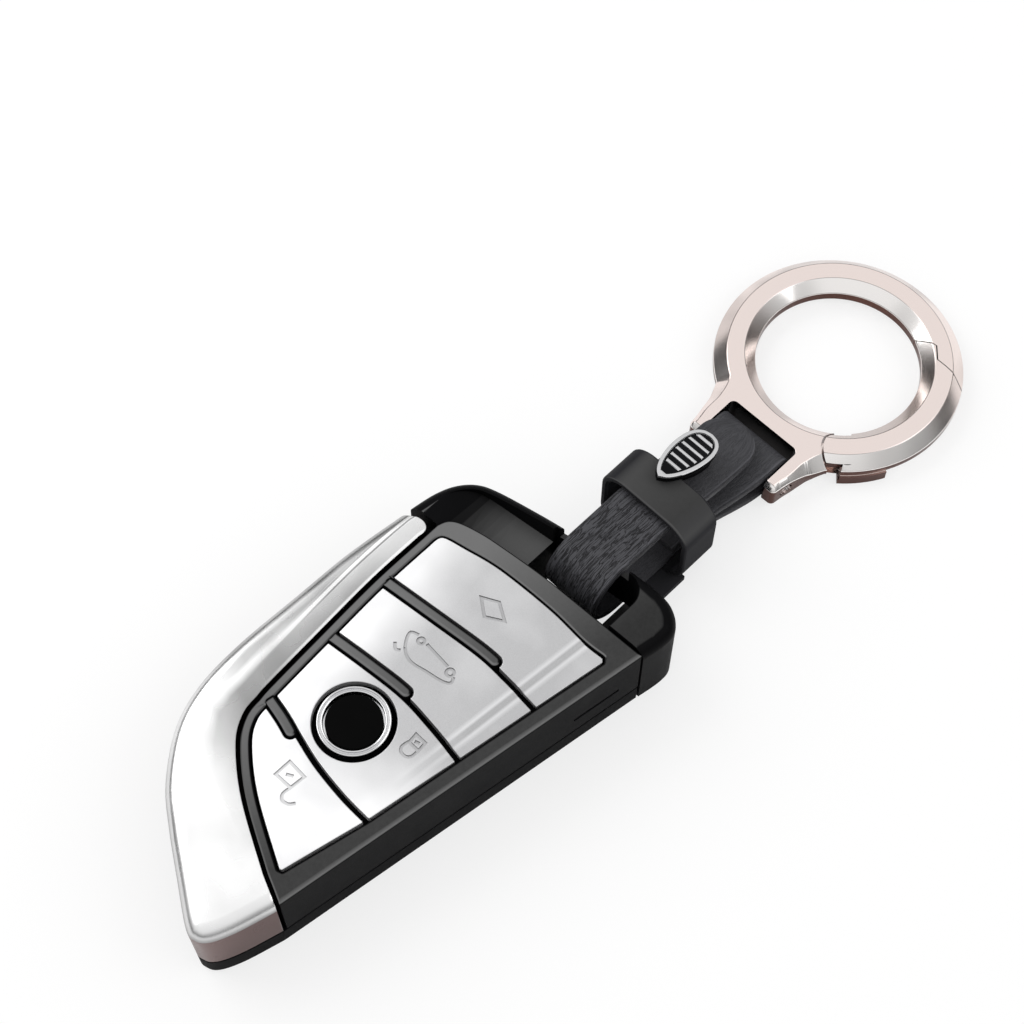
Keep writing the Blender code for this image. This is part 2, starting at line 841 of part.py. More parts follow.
def strap_path():
    """The middle of the strap: distance, height, half width and place of its middle across."""
    front = keeper_start + keeper_length
    path = []
    for point in tongue_line():
        lean = -tongue_lean * ease((point.x - front) / (pin_distance - front))
        path.append(Vector((point.x, point.y, strap_width / 2, lean)))
    loop = arc((0.0, bar_axis_rise), bar_bend, math.pi / 2, math.pi * 1.5, bend_steps)
    for index, point in enumerate(loop[:-1]):
        half = (strap_width + (strap_low_width - strap_width) * index / bend_steps) / 2
        path.append(Vector((point.x, point.y, half, 0.0)))
    bend = arc((pin_distance + pin_slack, pin_rise), pin_bend, -math.pi / 2, math.pi / 2, bend_steps)
    for point in lower_line()[:-1] + bend + return_line()[1:]:
        widening = ease((point.x - front) / (pin_distance - front))
        half = (strap_low_width + (strap_pin_width - strap_low_width) * widening) / 2
        path.append(Vector((point.x, point.y, half, strap_pin_offset * widening)))
    return path


def height_on(line, distance):
    """Height of a line at a distance from the bar."""
    for first, second in zip(line, line[1:]):
        low, high = sorted([first, second], key=lambda point: point.x)
        if low.x <= distance <= high.x and high.x > low.x:
            return low.y + (high.y - low.y) * (distance - low.x) / (high.x - low.x)
    return line[-1].y


def make_strap(strap_frame):
    """One band: the tongue, over the bar, back below the sleeve, round the pin and under the tongue."""
    path = strap_path()
    lengths = [0.0]
    for first, second in zip(path, path[1:]):
        lengths.append(lengths[-1] + (second.xy - first.xy).length)

    mesh = bpy.data.meshes.new("strap")
    sheet = bmesh.new()
    bmesh.ops.create_grid(sheet, x_segments=len(path) - 1, y_segments=strap_columns, size=1.0)
    for corner in sheet.verts:
        row = round((corner.co.x + 1.0) / 2.0 * (len(path) - 1))
        across = math.sin(corner.co.y * math.pi / 2)
        round_end = strap_width / 2 * (1.0 - math.sqrt(max(0.0, 1.0 - across ** 2)))
        along = lengths[row] + round_end * max(0.0, 1.0 - lengths[row] / tongue_fade)
        index = 0
        while index < len(path) - 2 and lengths[index + 1] < along:
            index += 1
        step = (along - lengths[index]) / (lengths[index + 1] - lengths[index])
        place = path[index].lerp(path[index + 1], min(step, 1.0))
        corner.co = (place[3] + across * place[2], place[0], place[1])
    sheet.to_mesh(mesh)
    sheet.free()
    item = bpy.data.objects.new("strap", mesh)
    bpy.context.scene.collection.objects.link(item)
    origin_to(item, (0.0, 0.0, bar_axis_rise))
    item.parent = strap_frame
    wall = item.modifiers.new("thickness", "SOLIDIFY")
    wall.thickness = strap_thickness
    wall.offset = 0.0
    wall.use_even_offset = True

    low = height_on(return_line(), snap_distance) + strap_thickness
    high = badge_tip_rise
    hole = cylinder(post_radius + fit_gap, low, high, (badge_middle(), snap_distance), 24)
    hole.parent = strap_frame
    cut(item, hole)
    return as_part(item, "strap", black_leather)


def badge_middle():
    return -badge_offset


def sleeve(inset, start, end):
    """A rectangle with round corners in front view, carried along the strap."""
    middle = (keeper_bottom + keeper_top) / 2
    height = keeper_top - keeper_bottom - 2 * inset
    outline = rounded_rectangle((0.0, middle), keeper_width - 2 * inset, height, keeper_corner - inset, 6)
    item = slab(outline, -end, -start)
    item.location = (0.0, (start + end) / 2, 0.0)
    item.rotation_euler.x = math.pi / 2
    return item


def make_keeper(strap_frame):
    end = keeper_start + keeper_length
    item = sleeve(0.0, keeper_start, end)
    half = keeper_width / 2
    apron = slab(rectangle(-half, half, apron_start, keeper_start + keeper_wall), keeper_bottom,
                 keeper_bottom + keeper_wall)
    room = sleeve(keeper_wall, keeper_start - overrun, end + overrun)
    for piece in (item, apron, room):
        piece.parent = strap_frame
    join(item, apron)
    cut(item, room)
    return as_part(item, "strap_keeper", black_leather)


def badge_outline(inset):
    """Shield in plan, tip at the origin, set in by a distance."""
    half = smooth(placed(badge_edge_shares, badge_width, badge_length))
    other = [Vector((-point.x, point.y)) for point in half[1:-1]]
    line = half + other[::-1]
    if inset:
        line = shifted(line + line[:2], inset)[1:-1]
    return line


def make_badge(strap_frame):
    """Tilted plate and base, with a pedestal that follows the tongue below it."""
    tilt = -math.asin(badge_fall / badge_length)
    plate_low = -badge_plate_thickness
    base_high = plate_low - fit_gap
    base_low = base_high - badge_base_thickness
    place = (badge_middle(), badge_start, badge_tip_rise)

    plate = slab(badge_outline(0.0), plate_low, 0.0)
    base = slab(badge_outline(0.0), base_low, base_high)
    for item in (plate, base):
        origin_to(item, (0.0, 0.0, 0.0))
        item.location = place
        item.rotation_euler.x = tilt
        item.parent = strap_frame

    seat = tongue_line()
    near = badge_start + pedestal_start
    far = badge_start + badge_length - pedestal_end
    rise_near = height_on(seat, near)
    rise_far = height_on(seat, far)
    slope = math.atan2(rise_far - rise_near, far - near)
    lift = strap_thickness / 2 + fit_gap
    bulge = max(height_on(seat, near + (far - near) * share) - rise_near - (rise_far - rise_near) * share
                for share in (0.2, 0.4, 0.6, 0.8))
    lift += max(bulge, 0.0)
    pedestal = slab(badge_outline(pedestal_inset), lift, badge_tip_rise - rise_far)
    origin_to(pedestal, (0.0, near - badge_start, 0.0))
    pedestal.location = (badge_middle(), near, rise_near)
    pedestal.rotation_euler.x = slope
    above = slab(rectangle(-badge_width, badge_width, -badge_length, 2 * badge_length), base_low + fit_gap,
                 badge_length)
    origin_to(above, (0.0, 0.0, 0.0))
    above.location = place
    above.rotation_euler.x = tilt
    front = slab(rectangle(-badge_width, badge_width, near, far), 0.0, 2 * badge_tip_rise)
    for item in (pedestal, above, front):
        item.parent = strap_frame
    cut(pedestal, above)
    trim(pedestal, front)
    join(base, pedestal)
    as_part(plate, "badge_plate", bright_trim)
    as_part(base, "badge_base", black_metal)


def make_snap(strap_frame):
    """Post through the tongue and the socket that it snaps into."""
    seat = height_on(return_line(), snap_distance) + strap_thickness / 2 + fit_gap
    top = seat + socket_height
    post_bottom = seat + socket_floor + fit_gap
    bore = post_radius + fit_gap
    socket = turned([
        (0.0, seat + socket_floor), (bore, seat + socket_floor), (bore, top), (socket_radius, top),
        (socket_radius, seat), (0.0, seat),
    ])
    socket.location = (badge_middle(), snap_distance, 0.0)
    socket.parent = strap_frame
    as_part(socket, "snap_socket", steel)
    post_top = height_on(tongue_line(), snap_distance + post_radius) + strap_thickness / 2
    post = cylinder(post_radius, post_bottom, post_top, (badge_middle(), snap_distance), 24)
    post.parent = strap_frame
    as_part(post, "snap_post", steel)


def ring_section():
    """Section of the ring, down its outer side and back up its inner side."""
    return [
        (ring_outer_flat, ring_thickness), (ring_outer_radius, ring_outer_high),
        (ring_outer_radius, ring_outer_low), (ring_outer_flat, 0.0), (ring_inner_flat, 0.0),
        (ring_inner_radius, ring_inner_low), (ring_inner_radius, ring_inner_high),
        (ring_inner_flat, ring_thickness),
    ]


def pivot():
    """Place of the gate's hinge from the middle of the ring."""
    return Vector((gate_radius * math.cos(gate_angle), gate_radius * math.sin(gate_angle)))


def gate_outline(grow):
    """Everything of the ring that belongs to the gate, grown by a gap for the ring's own side."""
    hinge = pivot()
    middle = Vector((0.0, 0.0))
    inward = gate_angle + math.pi
    knuckle = arc(hinge, knuckle_radius + grow, inward, inward + math.pi, 14)
    start = gate_angle + math.radians(12.0)
    outside = arc(middle, ring_outer_radius + overrun, start, math.radians(24.0), 4)
    back = grow / mouth_reach
    outer_face = arc(hinge, mouth_reach + grow, mouth_outer_angle, lip_start_angle - back, 6)
    lip_face = arc(hinge, mouth_reach + lip_length + grow, lip_end_angle - back, mouth_inner_angle, 5)
    inside = arc(middle, ring_inner_radius - overrun, math.radians(70.0), start, 5)
    return knuckle + outside + outer_face + lip_face + inside


def toward_body(turn):
    """Direction along the ring from the hinge to the body, turned by an angle."""
    return gate_angle - math.pi / 2 + turn


def hinge_strip(radius, direction, half_width, reach):
    """A round end about the hinge that opens into a strip."""
    hinge = pivot()
    run = Vector((math.cos(direction), math.sin(direction)))
    side = Vector((-run.y, run.x))
    back = arc(hinge, radius, direction + math.pi / 2, direction + math.pi * 1.5, 12)
    return back + [
        hinge - side * half_width, hinge - side * half_width + run * reach,
        hinge + side * half_width + run * reach, hinge + side * half_width,
    ]


def neck_outline():
    """Neck and ears in plan, with a plain lower edge that the window opens."""
    tip = ring_reach + ear_end
    side = smooth(placed([(x, -y) for x, y in neck_edge_shares], ear_half_width, ring_reach))
    corner = arc((ear_half_width - ear_corner, ear_corner - tip), ear_corner, 0.0, -math.pi / 2, 4)
    half = side + corner
    other = [Vector((-point.x, point.y)) for point in half]
    top = arc((0.0, 0.0), neck_arc_radius, -math.pi / 2 - neck_arc_reach, -math.pi / 2 + neck_arc_reach, 10)
    return top + half + other[::-1]


def window_shape():
    """Opening between the ears, open at the end of the ears."""
    top = window_depth - ring_reach
    right = arc((window_half_width - window_corner, top - window_corner), window_corner, 0.0, math.pi / 2, 4)
    left = [Vector((-point.x, point.y)) for point in right]
    low = -ring_reach - ear_end - overrun
    return [Vector((window_half_width, low))] + right + left[::-1] + [Vector((-window_half_width, low))]


def make_ring(ring_frame):
    place = (0.0, ring_reach, -pin_rise)
    item = turned(ring_section(), ring_segments, closed=True)
    neck = slab(neck_outline(), neck_skin, ring_thickness - neck_skin)
    window = slab(window_shape(), -overrun, ring_thickness + overrun)
    gate_room = slab(gate_outline(fit_gap), -overrun, ring_thickness + overrun)
    tongue = slab(hinge_strip(hinge_tongue_radius, toward_body(0.0), hinge_tongue_radius, hinge_tongue_reach),
                  hinge_tongue_bottom, hinge_tongue_top)
    pin_hole = cylinder(gate_pin_radius + pin_fit, -overrun, ring_thickness + overrun, pivot(), 24)
    ear_hole = cylinder(ring_pin_radius + pin_fit, -ear_half_width - overrun, ear_half_width + overrun,
                        segments=24)
    ear_hole.rotation_euler.y = math.pi / 2
    tools = [neck, window, gate_room, tongue, pin_hole]
    for tool in tools:
        tool.location += Vector(place)
    item.location = place
    for piece in [item, ear_hole] + tools:
        piece.parent = ring_frame
    join(item, neck)
    cut(item, window, gate_room)
    join(item, tongue)
    cut(item, pin_hole, ear_hole)
    as_part(item, "ring_body", warm_nickel)

    length = 2 * (ear_half_width - ring_pin_inset)
    pin = cylinder(ring_pin_radius, -length / 2, length / 2, segments=24)
    pin.rotation_euler.y = math.pi / 2
    pin.parent = ring_frame
    as_part(pin, "ring_pin", steel)


def make_gate(gate_frame):
    """The hinged part of the ring with its pad, its pin and its spring."""
    hinge = pivot()
    item = turned(ring_section(), ring_segments, closed=True)
    own = slab(gate_outline(0.0), -overrun, ring_thickness + overrun)
    slot = slab(hinge_strip(hinge_slot_radius, toward_body(-gate_swing / 2), knuckle_radius + overrun,
                            knuckle_radius + overrun), hinge_slot_bottom, hinge_slot_top)
    middle = (0.0, 0.0)
    pad_line = arc(middle, pad_outer_radius, pad_start_angle, pad_end_angle, 6)
    pad_line += arc(middle, pad_inner_radius, pad_end_angle, pad_start_angle, 6)
    pad = slab(pad_line, 0.0, pad_height)
    hole_top = gate_pin_top + fit_gap
    pin_hole = cylinder(gate_pin_radius + pin_fit, -overrun, hole_top, hinge, 24)
    pin = cylinder(gate_pin_radius, gate_pin_bottom, gate_pin_top, hinge, 24)
    shift = Vector((-hinge.x, -hinge.y, 0.0))
    for piece in (item, own, slot, pad, pin_hole, pin):
        piece.location += shift
        piece.parent = gate_frame
    trim(item, own)
    join(item, pad)
    cut(item, slot, pin_hole)
    as_part(item, "gate", warm_nickel)
    as_part(pin, "gate_pin", steel)
    make_gate_spring(gate_frame)


def make_gate_spring(gate_frame):
    """One and a half turns of wire round the pin, below the tongue of the ring."""
    curve = bpy.data.curves.new("gate_spring", "CURVE")
    curve.dimensions = "3D"
    curve.bevel_depth = spring_wire
    curve.bevel_resolution = 1
    curve.use_fill_caps = True
    spline = curve.splines.new("POLY")
    spline.points.add(spring_points - 1)
    spline.use_smooth = False
    height = spring_pitch * spring_turns
    start = (hinge_slot_bottom + hinge_tongue_bottom - height) / 2
    places = []
    for index, point in enumerate(spline.points):
        share = index / (spring_points - 1)
        angle = 2 * math.pi * spring_turns * share
        places.append(Vector((spring_radius * math.cos(angle), spring_radius * math.sin(angle),
                              start + height * share)))
        point.co = (*places[-1], 1.0)
    gap = min((first - second).length - 2 * spring_wire
              for index, first in enumerate(places) for second in places[index + spring_points // 3:])
    print("least gap of the gate spring to itself, mm:", round(gap * 1000, 3))
    item = as_mesh(bpy.data.objects.new("gate_spring", curve))
    item.parent = gate_frame
    as_part(item, "gate_spring", steel)


def main():
    empty_scene()
    new_collection("key_fob_cover")
    new_collection("cutters")
    start = Vector((strap_x_share * cover_width, strap_y_share * cover_length, 0.0))
    strap_frame = frame_at("strap_frame", start, strap_turn)
    ring_frame = frame_at("ring_frame", (ring_offset, pin_distance, pin_rise), 0.0, strap_frame)
    hinge = pivot()
    gate_frame = frame_at("gate_frame", (hinge.x, hinge.y + ring_reach, -pin_rise), 0.0, ring_frame)
    make_back_shell()
    make_front_shell()
    make_blade_trim()
    make_buttons()
    make_button_pad()
    make_emblem()
    make_end_cap(strap_frame)
    make_strap(strap_frame)
    make_keeper(strap_frame)
    make_badge(strap_frame)
    make_snap(strap_frame)
    make_ring(ring_frame)
    make_gate(gate_frame)


main()
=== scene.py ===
"""Key fob cover with a leather strap and a gate ring, dressed for a picture.

Lengths are in metres. The frame's origin is the middle of the flat back of the cover, +Z points to the
buttons and +Y from the tip of the cover to its end cap. Shares along X follow the width of the cover and
shares along Y its length. The strap and the ring lie on a line turned a little to the left of +Y.
"""

import math

import bmesh
import bpy
from bpy.props import FloatProperty, FloatVectorProperty, IntProperty, PointerProperty
from bpy.types import Operator, Panel, PropertyGroup
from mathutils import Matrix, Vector
from mathutils.bvhtree import BVHTree
from mathutils.geometry import intersect_line_line_2d


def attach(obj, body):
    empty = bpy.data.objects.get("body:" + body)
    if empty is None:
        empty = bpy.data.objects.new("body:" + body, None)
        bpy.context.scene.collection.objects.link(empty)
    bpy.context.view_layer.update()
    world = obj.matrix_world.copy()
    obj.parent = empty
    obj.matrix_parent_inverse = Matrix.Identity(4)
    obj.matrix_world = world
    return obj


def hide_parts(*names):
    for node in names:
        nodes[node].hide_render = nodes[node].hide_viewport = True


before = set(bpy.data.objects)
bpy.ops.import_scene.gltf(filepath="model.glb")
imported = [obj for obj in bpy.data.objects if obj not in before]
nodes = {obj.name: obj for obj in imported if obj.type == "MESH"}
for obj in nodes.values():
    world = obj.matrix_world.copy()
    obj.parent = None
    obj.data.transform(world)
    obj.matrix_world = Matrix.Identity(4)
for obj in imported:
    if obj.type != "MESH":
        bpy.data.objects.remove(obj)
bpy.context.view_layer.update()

bl_info = {
    "name": "Key fob cover",
    "version": (1, 0, 0),
    "blender": (4, 5, 0),
    "location": "View3D > Sidebar > Key cover",
    "description": "Builds a key fob cover with its leather strap and gate ring",
    "category": "Object",
}

# Corners closer than weld are one corner, and cutting tools reach past what they cut by over
weld = 0.000002
over = 0.003
millimetre = 0.001

# Outline of the cover, from the end of the blade round the tip to the right wall
side_shares = [
    (-0.488, 0.233), (-0.474, 0.099), (-0.442, -0.019), (-0.404, -0.152), (-0.351, -0.251),
    (-0.262, -0.326), (-0.108, -0.392), (0.043, -0.430), (0.216, -0.466), (0.370, -0.4965),
    (0.423, -0.495), (0.457, -0.478), (0.481, -0.437), (0.4976, -0.373), (0.5, -0.360),
]

# Line where the case ends and the cap begins, from the right wall to the blade
seam_shares = [
    (0.5, 0.393), (0.296, 0.373), (0.046, 0.3485), (-0.156, 0.322), (-0.243, 0.308),
    (-0.317, 0.291), (-0.351, 0.275), (-0.3606, 0.255),
]
blade_end_shares = [(-0.3726, 0.2517), (-0.488, 0.233)]

# Rounded end of the blade beside the cap
blade_corner = [
    (-0.0151, 0.0195), (-0.0156, 0.0203), (-0.0166, 0.0206), (-0.0178, 0.0203), (-0.0189, 0.0195),
    (-0.0205, 0.0186),
]

# Outer edge of the cap, from the right wall round to the blade
cap_shares = [
    (0.5, 0.397), (0.5, 0.445), (0.483, 0.474), (0.428, 0.494), (0.351, 0.4995), (0.202, 0.485),
    (0.058, 0.464), (-0.071, 0.443), (-0.185, 0.423), (-0.351, 0.390), (-0.4255, 0.367),
    (-0.471, 0.333), (-0.490, 0.291), (-0.490, 0.239),
]

# Edges of the button panel: left from the tip to the cap, its corner, far end, and right
panel_left_shares = [
    (0.3966, -0.3205), (0.1322, -0.2797), (-0.0337, -0.2389), (-0.1010, -0.2075), (-0.1250, -0.1748),
    (-0.1418, -0.1469), (-0.1995, -0.0303), (-0.2644, 0.1061), (-0.3053, 0.2214),
]
panel_corner_shares = [(-0.3101, 0.2401), (-0.2933, 0.2517)]
panel_end_shares = [
    (-0.2163, 0.2669), (-0.0733, 0.2925), (0.1635, 0.3170), (0.3341, 0.3263), (0.4231, 0.3368),
]
panel_right_shares = [(0.4351, 0.3322), (0.4303, -0.1515), (0.4063, -0.3193)]

# Edges between the buttons, from left to right
far_edge_shares = [
    (-0.2644, 0.1061), (-0.0529, 0.1352), (0.1587, 0.1632), (0.2885, 0.1725), (0.4303, 0.1795),
]
middle_edge_shares = [
    (-0.1995, -0.0303), (-0.0481, -0.0093), (0.1250, 0.0117), (0.2813, 0.0186), (0.4375, 0.0210),
]
near_edge_shares = [
    (-0.1370, -0.1562), (-0.0493, -0.1573), (0.0457, -0.1620), (0.1647, -0.1655), (0.3101, -0.1620),
    (0.4303, -0.1538),
]

# The black finger beside each of those edges: its side and how far it reaches along the edge
finger_rows = [(far_edge_shares, 1, 0.60), (middle_edge_shares, 1, 0.51), (near_edge_shares, -1, 0.35)]

# Centre and size of each press pad under the buttons
press_pad_shares = [
    (0.135, -0.226, 0.24, 0.060), (0.356, -0.070, 0.085, 0.090), (0.100, 0.078, 0.32, 0.055),
    (0.050, 0.230, 0.38, 0.060),
]

# Strap seen from the side: distance from the bar in the cap and height of its middle
tongue_line = [
    (0.0360, 0.0069), (0.0281, 0.0086), (0.0201, 0.0116), (0.0150, 0.0131), (0.0110, 0.0137),
    (0.0100, 0.0139),
]
lower_line = [
    (0.0, 0.0033), (0.0041, 0.0030), (0.0080, 0.0027), (0.0201, 0.0025), (0.0271, 0.0013), (0.0312, 0.0008),
    (0.0342, 0.0008),
]
return_line = [(0.0342, 0.0051), (0.0302, 0.0050), (0.0241, 0.0046), (0.0125, 0.0044)]

# Half of the badge of the strap, as shares of its width and length from its tip
badge_edge_shares = [
    (0.0, 0.0), (0.20, 0.085), (0.36, 0.235), (0.465, 0.43), (0.5, 0.62), (0.475, 0.78), (0.38, 0.90),
    (0.21, 0.975), (0.0, 1.0),
]


class CoverSizes(PropertyGroup):
    """Sizes of the hard case and its buttons."""

    width: FloatProperty(name="Width", description="Width of the case", default=0.0416, unit="LENGTH")
    length: FloatProperty(name="Length", description="Length of the case with its cap", default=0.0858,
                          unit="LENGTH")
    height: FloatProperty(name="Height", description="Height of the case", default=0.0160, unit="LENGTH")
    rounding: FloatProperty(name="Rounding", description="Radius of the upper outer edge", default=0.0024,
                            unit="LENGTH")
    soft_edge: FloatProperty(name="Soft edge", description="Radius that takes the sharpness off the edges",
                             default=0.00018, unit="LENGTH")
    bar_width: FloatProperty(name="Bar", description="Width of the bar between the buttons and the blade",
                             default=0.0014, unit="LENGTH")
    panel_gap: FloatProperty(name="Panel gap", description="Gap round the buttons", default=0.00035,
                             unit="LENGTH")
    groove: FloatProperty(name="Groove", description="Gap between two buttons", default=0.0009, unit="LENGTH")
    finger_width: FloatProperty(name="Finger", description="Width of the raised black fingers",
                                default=0.0016, unit="LENGTH")
    crease_drop: FloatProperty(name="Crease", description="Height of the step in the buttons beside the wall",
                               default=0.00032, unit="LENGTH")
    line_width: FloatProperty(name="Sign line", description="Width of the lines of the signs on the buttons",
                              default=0.00050, unit="LENGTH")
    line_depth: FloatProperty(name="Sign depth", description="Depth of the signs on the buttons",
                              default=0.00022, unit="LENGTH")


class StrapSizes(PropertyGroup):
    """Sizes of the strap, its sleeve and its badge."""

    thickness: FloatProperty(name="Thickness", description="Thickness of the leather", default=0.0014,
                             unit="LENGTH")
    width: FloatProperty(name="Width", description="Width at the bar and of the tongue", default=0.0102,
                         unit="LENGTH")
    pin_width: FloatProperty(name="Width at the pin", description="Width where the strap turns round the pin",
                             default=0.0134, unit="LENGTH")
    soft_edge: FloatProperty(name="Soft edge", description="Radius of the leather's edges", default=0.00032,
                             unit="LENGTH")
    sleeve_width: FloatProperty(name="Sleeve", description="Width of the sleeve", default=0.0180,
                                unit="LENGTH")
    sleeve_wall: FloatProperty(name="Sleeve wall", description="Thickness of the sleeve", default=0.0012,
                               unit="LENGTH")
    badge_rim: FloatProperty(name="Badge rim", description="Width of the badge's bright rim", default=0.00062,
                             unit="LENGTH")
    badge_recess: FloatProperty(name="Badge recess", description="Depth of the badge's dark field",
                                default=0.0002, unit="LENGTH")
    badge_bars: IntProperty(name="Badge bars", description="Number of bright bars in the badge", default=6,
                            min=0, max=12)


class RingSizes(PropertyGroup):
    """Sizes of the ring and its gate."""

    thickness: FloatProperty(name="Thickness", description="Thickness of the ring", default=0.0055,
                             unit="LENGTH")
    outer_radius: FloatProperty(name="Outer radius", description="Outer radius of the ring", default=0.0208,
                                unit="LENGTH")
    inner_radius: FloatProperty(name="Inner radius", description="Radius of the hole", default=0.0138,
                                unit="LENGTH")
    outer_flat: FloatProperty(name="Outer flat", description="Radius where the top face ends", default=0.0187,
                              unit="LENGTH")
    inner_flat: FloatProperty(name="Inner flat", description="Radius where the top face begins",
                              default=0.0158, unit="LENGTH")
    soft_edge: FloatProperty(name="Soft edge", description="Radius that takes the sharpness off the edges",
                             default=0.00016, unit="LENGTH")
    segments: IntProperty(name="Segments", description="Steps round the ring", default=180, min=48, max=360)


class Finishes(PropertyGroup):
    """Colours of the materials."""

    shell: FloatVectorProperty(name="Black plastic", description="Colour of the case", subtype="COLOR",
                               size=3, default=(0.0045, 0.0045, 0.005), min=0.0, max=1.0)
    blade: FloatVectorProperty(name="Bright metal", description="Colour of the blade", subtype="COLOR",
                               size=3, default=(0.80, 0.80, 0.81), min=0.0, max=1.0)
    button: FloatVectorProperty(name="Satin silver", description="Colour of the buttons", subtype="COLOR",
                                size=3, default=(0.70, 0.70, 0.71), min=0.0, max=1.0)
    leather: FloatVectorProperty(name="Leather", description="Colour of the leather", subtype="COLOR",
                                 size=3, default=(0.026, 0.026, 0.029), min=0.0, max=1.0)
    nickel: FloatVectorProperty(name="Warm nickel", description="Colour of the ring", subtype="COLOR",
                                size=3, default=(0.80, 0.70, 0.665), min=0.0, max=1.0)
    steel: FloatVectorProperty(name="Steel", description="Colour of pins and springs", subtype="COLOR",
                               size=3, default=(0.56, 0.56, 0.57), min=0.0, max=1.0)


class Studio(PropertyGroup):
    """Camera and light."""

    camera_place: FloatVectorProperty(name="Camera", description="Place of the camera", size=3,
                                      default=(0.10973, -0.0552, 0.295), subtype="TRANSLATION")
    camera_heading: FloatVectorProperty(name="Heading", description="Level direction of the view", size=2,
                                        default=(-0.807, 0.5906))
    camera_pitch: FloatProperty(name="Pitch", description="How far the camera looks down",
                                default=math.radians(62.0), subtype="ANGLE")
    focal_length: FloatProperty(name="Focal length", description="Focal length on a 36 mm sensor, in mm",
                                default=72.42)
    key_power: FloatProperty(name="Main lamp", description="Power of the main lamp", default=2.4,
                             subtype="POWER", unit="POWER")
    fill_power: FloatProperty(name="Fill lamp", description="Power of the fill lamp", default=0.6,
                              subtype="POWER", unit="POWER")
    sky_strength: FloatProperty(name="Sky", description="Strength of the light from all round", default=0.84)


class KeyCoverSettings(PropertyGroup):
    """All settings of the key cover."""

    cover: PointerProperty(type=CoverSizes, name="Case")
    strap: PointerProperty(type=StrapSizes, name="Strap")
    ring: PointerProperty(type=RingSizes, name="Ring")
    finishes: PointerProperty(type=Finishes, name="Finishes")
    studio: PointerProperty(type=Studio, name="Studio")


def settings():
    return bpy.context.scene.key_cover


# Heights that the case is built to
parting = 0.0044
deck_bottom = 0.0122
deck_top = 0.0132
plate_top = 0.0161
plate_bottom = 0.0146
finger_lift = 0.0005
fit = 0.0003
case_inset = 0.0019
case_wall = 0.0015
emblem = Vector((0.00434, -0.00655))
crease_slant = 0.065
crease_lines = (0.0152, 0.01625)

# Gap between the case and the cap, and the angle from which an edge counts as sharp
seam_gap = 0.0004
hard_edge = math.radians(40.0)

# Back half, and the pads, boss and slit of the front half
back_top = 0.0041
back_floor = 0.0014
back_soft_edge = 0.0003
pad_corner = 0.0012
pad_hole_gap = 0.0004
boss_top = 0.0139
boss_radius = 0.0040
slit_depth = 0.0004
slit_start = 0.0214
slit_end = 0.0298
slit_bottom = 0.0082
slit_top = 0.0088
front_soft_edge = 0.0008

# Window of the round badge and soft edge of the buttons
badge_window_radius = 0.0063
button_soft_edge = 0.0002

# End cap: its slot, the pockets round the strap, the ledge, the scoop and the prongs
slot_left = 0.0069
slot_right = 0.0103
slot_corner = 0.0036
rim_width = 0.0009
pocket_half = 0.0063
low_pocket_left = 0.0094
low_pocket_right = 0.0096
pocket_start = 0.0031
bar_half_height = 0.0041
ledge_left = 0.0057
ledge_right = 0.0108
ledge_start = 0.0060
ledge_end = 0.0033
ledge_bottom = 0.0020
ledge_top = 0.0032
scoop_radius = 0.0640
scoop_floor = 0.0109
scoop_middle = 0.0020
scoop_rim = 0.0017
prong_thickness = 0.0012
prong_reach = 0.0100
prong_root = 0.0020
prong_bottom = 0.0030
prong_top = 0.0090
cap_soft_edge = 0.00025
cap_soft_from = -0.0100
# cap_grey_from is the height above which the cap's upward faces get a painted lit grey.
cap_grey_from = 0.0030

# Line of the strap and the ring
strap_turn = math.radians(9.0)
bar = Vector((0.002529, 0.039202, 0.0086))
bar_bend = 0.0053
pin_distance = 0.0342
pin_rise = 0.00295
pin_bend = 0.00215
pin_slack = 0.0012
pin_radius = 0.0012
pin_half = 0.0123
ring_shift = 0.0006
ring_distance = 0.0583

# Strap with its snap, its badge and its sleeve. low_half is half the width of its lower layer at the cap
low_half = 0.0053
widening_start = 0.0180
tongue_lean = 0.0009
snap_distance = 0.0232
snap_radius = 0.0018
badge_shift = 0.0011
badge_height = 0.0183
badge_start = 0.0147
badge_drop = 0.0032
badge_length = 0.0133
badge_width = 0.0062
badge_thickness = 0.0005
badge_soft_edge = 0.00009
badge_bar_start = 0.0034
badge_bar_span = 0.0078
badge_bar_half = 0.0031
badge_bar_width = 0.00055
badge_bar_gap = 0.00035
sleeve_bottom = 0.0002
sleeve_top = 0.0160
sleeve_start = 0.0107
sleeve_end = 0.0180
sleeve_corner = 0.0047
sleeve_lip_start = 0.0054
sleeve_soft_edge = 0.0004

# Heights of the ring's slanted sides, and its neck, ears and strap window
outer_side_bottom = 0.0021
outer_side_top = 0.0034
inner_side_bottom = 0.0019
inner_side_top = 0.0036
half_ear = 0.0093
ring_reach = 0.0241
ear_reach = 0.0270
ear_corner = 0.0009
ear_slant_start = 0.0174
ear_slant_run = 0.0065
window_half = 0.0070
window_length = 0.0055
window_corner = 0.0010

# Gate: its hinge, the two faces where it meets the ring, and its thumb pad
gate_radius = 0.0177
gate_angle = math.radians(-45.5)
gate_swing = math.radians(35.0)
knuckle_radius = 0.0039
knuckle_room = 0.00025
mouth_radius = 0.02347
lip_radius = 0.02557
hinge_tongue_radius = 0.0019
hinge_tongue_reach = 0.0055
hinge_tongue_bottom = 0.0028
hinge_tongue_top = 0.0040
hinge_slot_radius = 0.0023
hinge_slot_bottom = 0.0012
hinge_slot_top = 0.0043
hinge_pin_radius = 0.0009
hinge_pin_top = 0.0053
pad_inner_radius = 0.0172
pad_outer_radius = 0.0211
pad_top = 0.0021


# Lines in plan


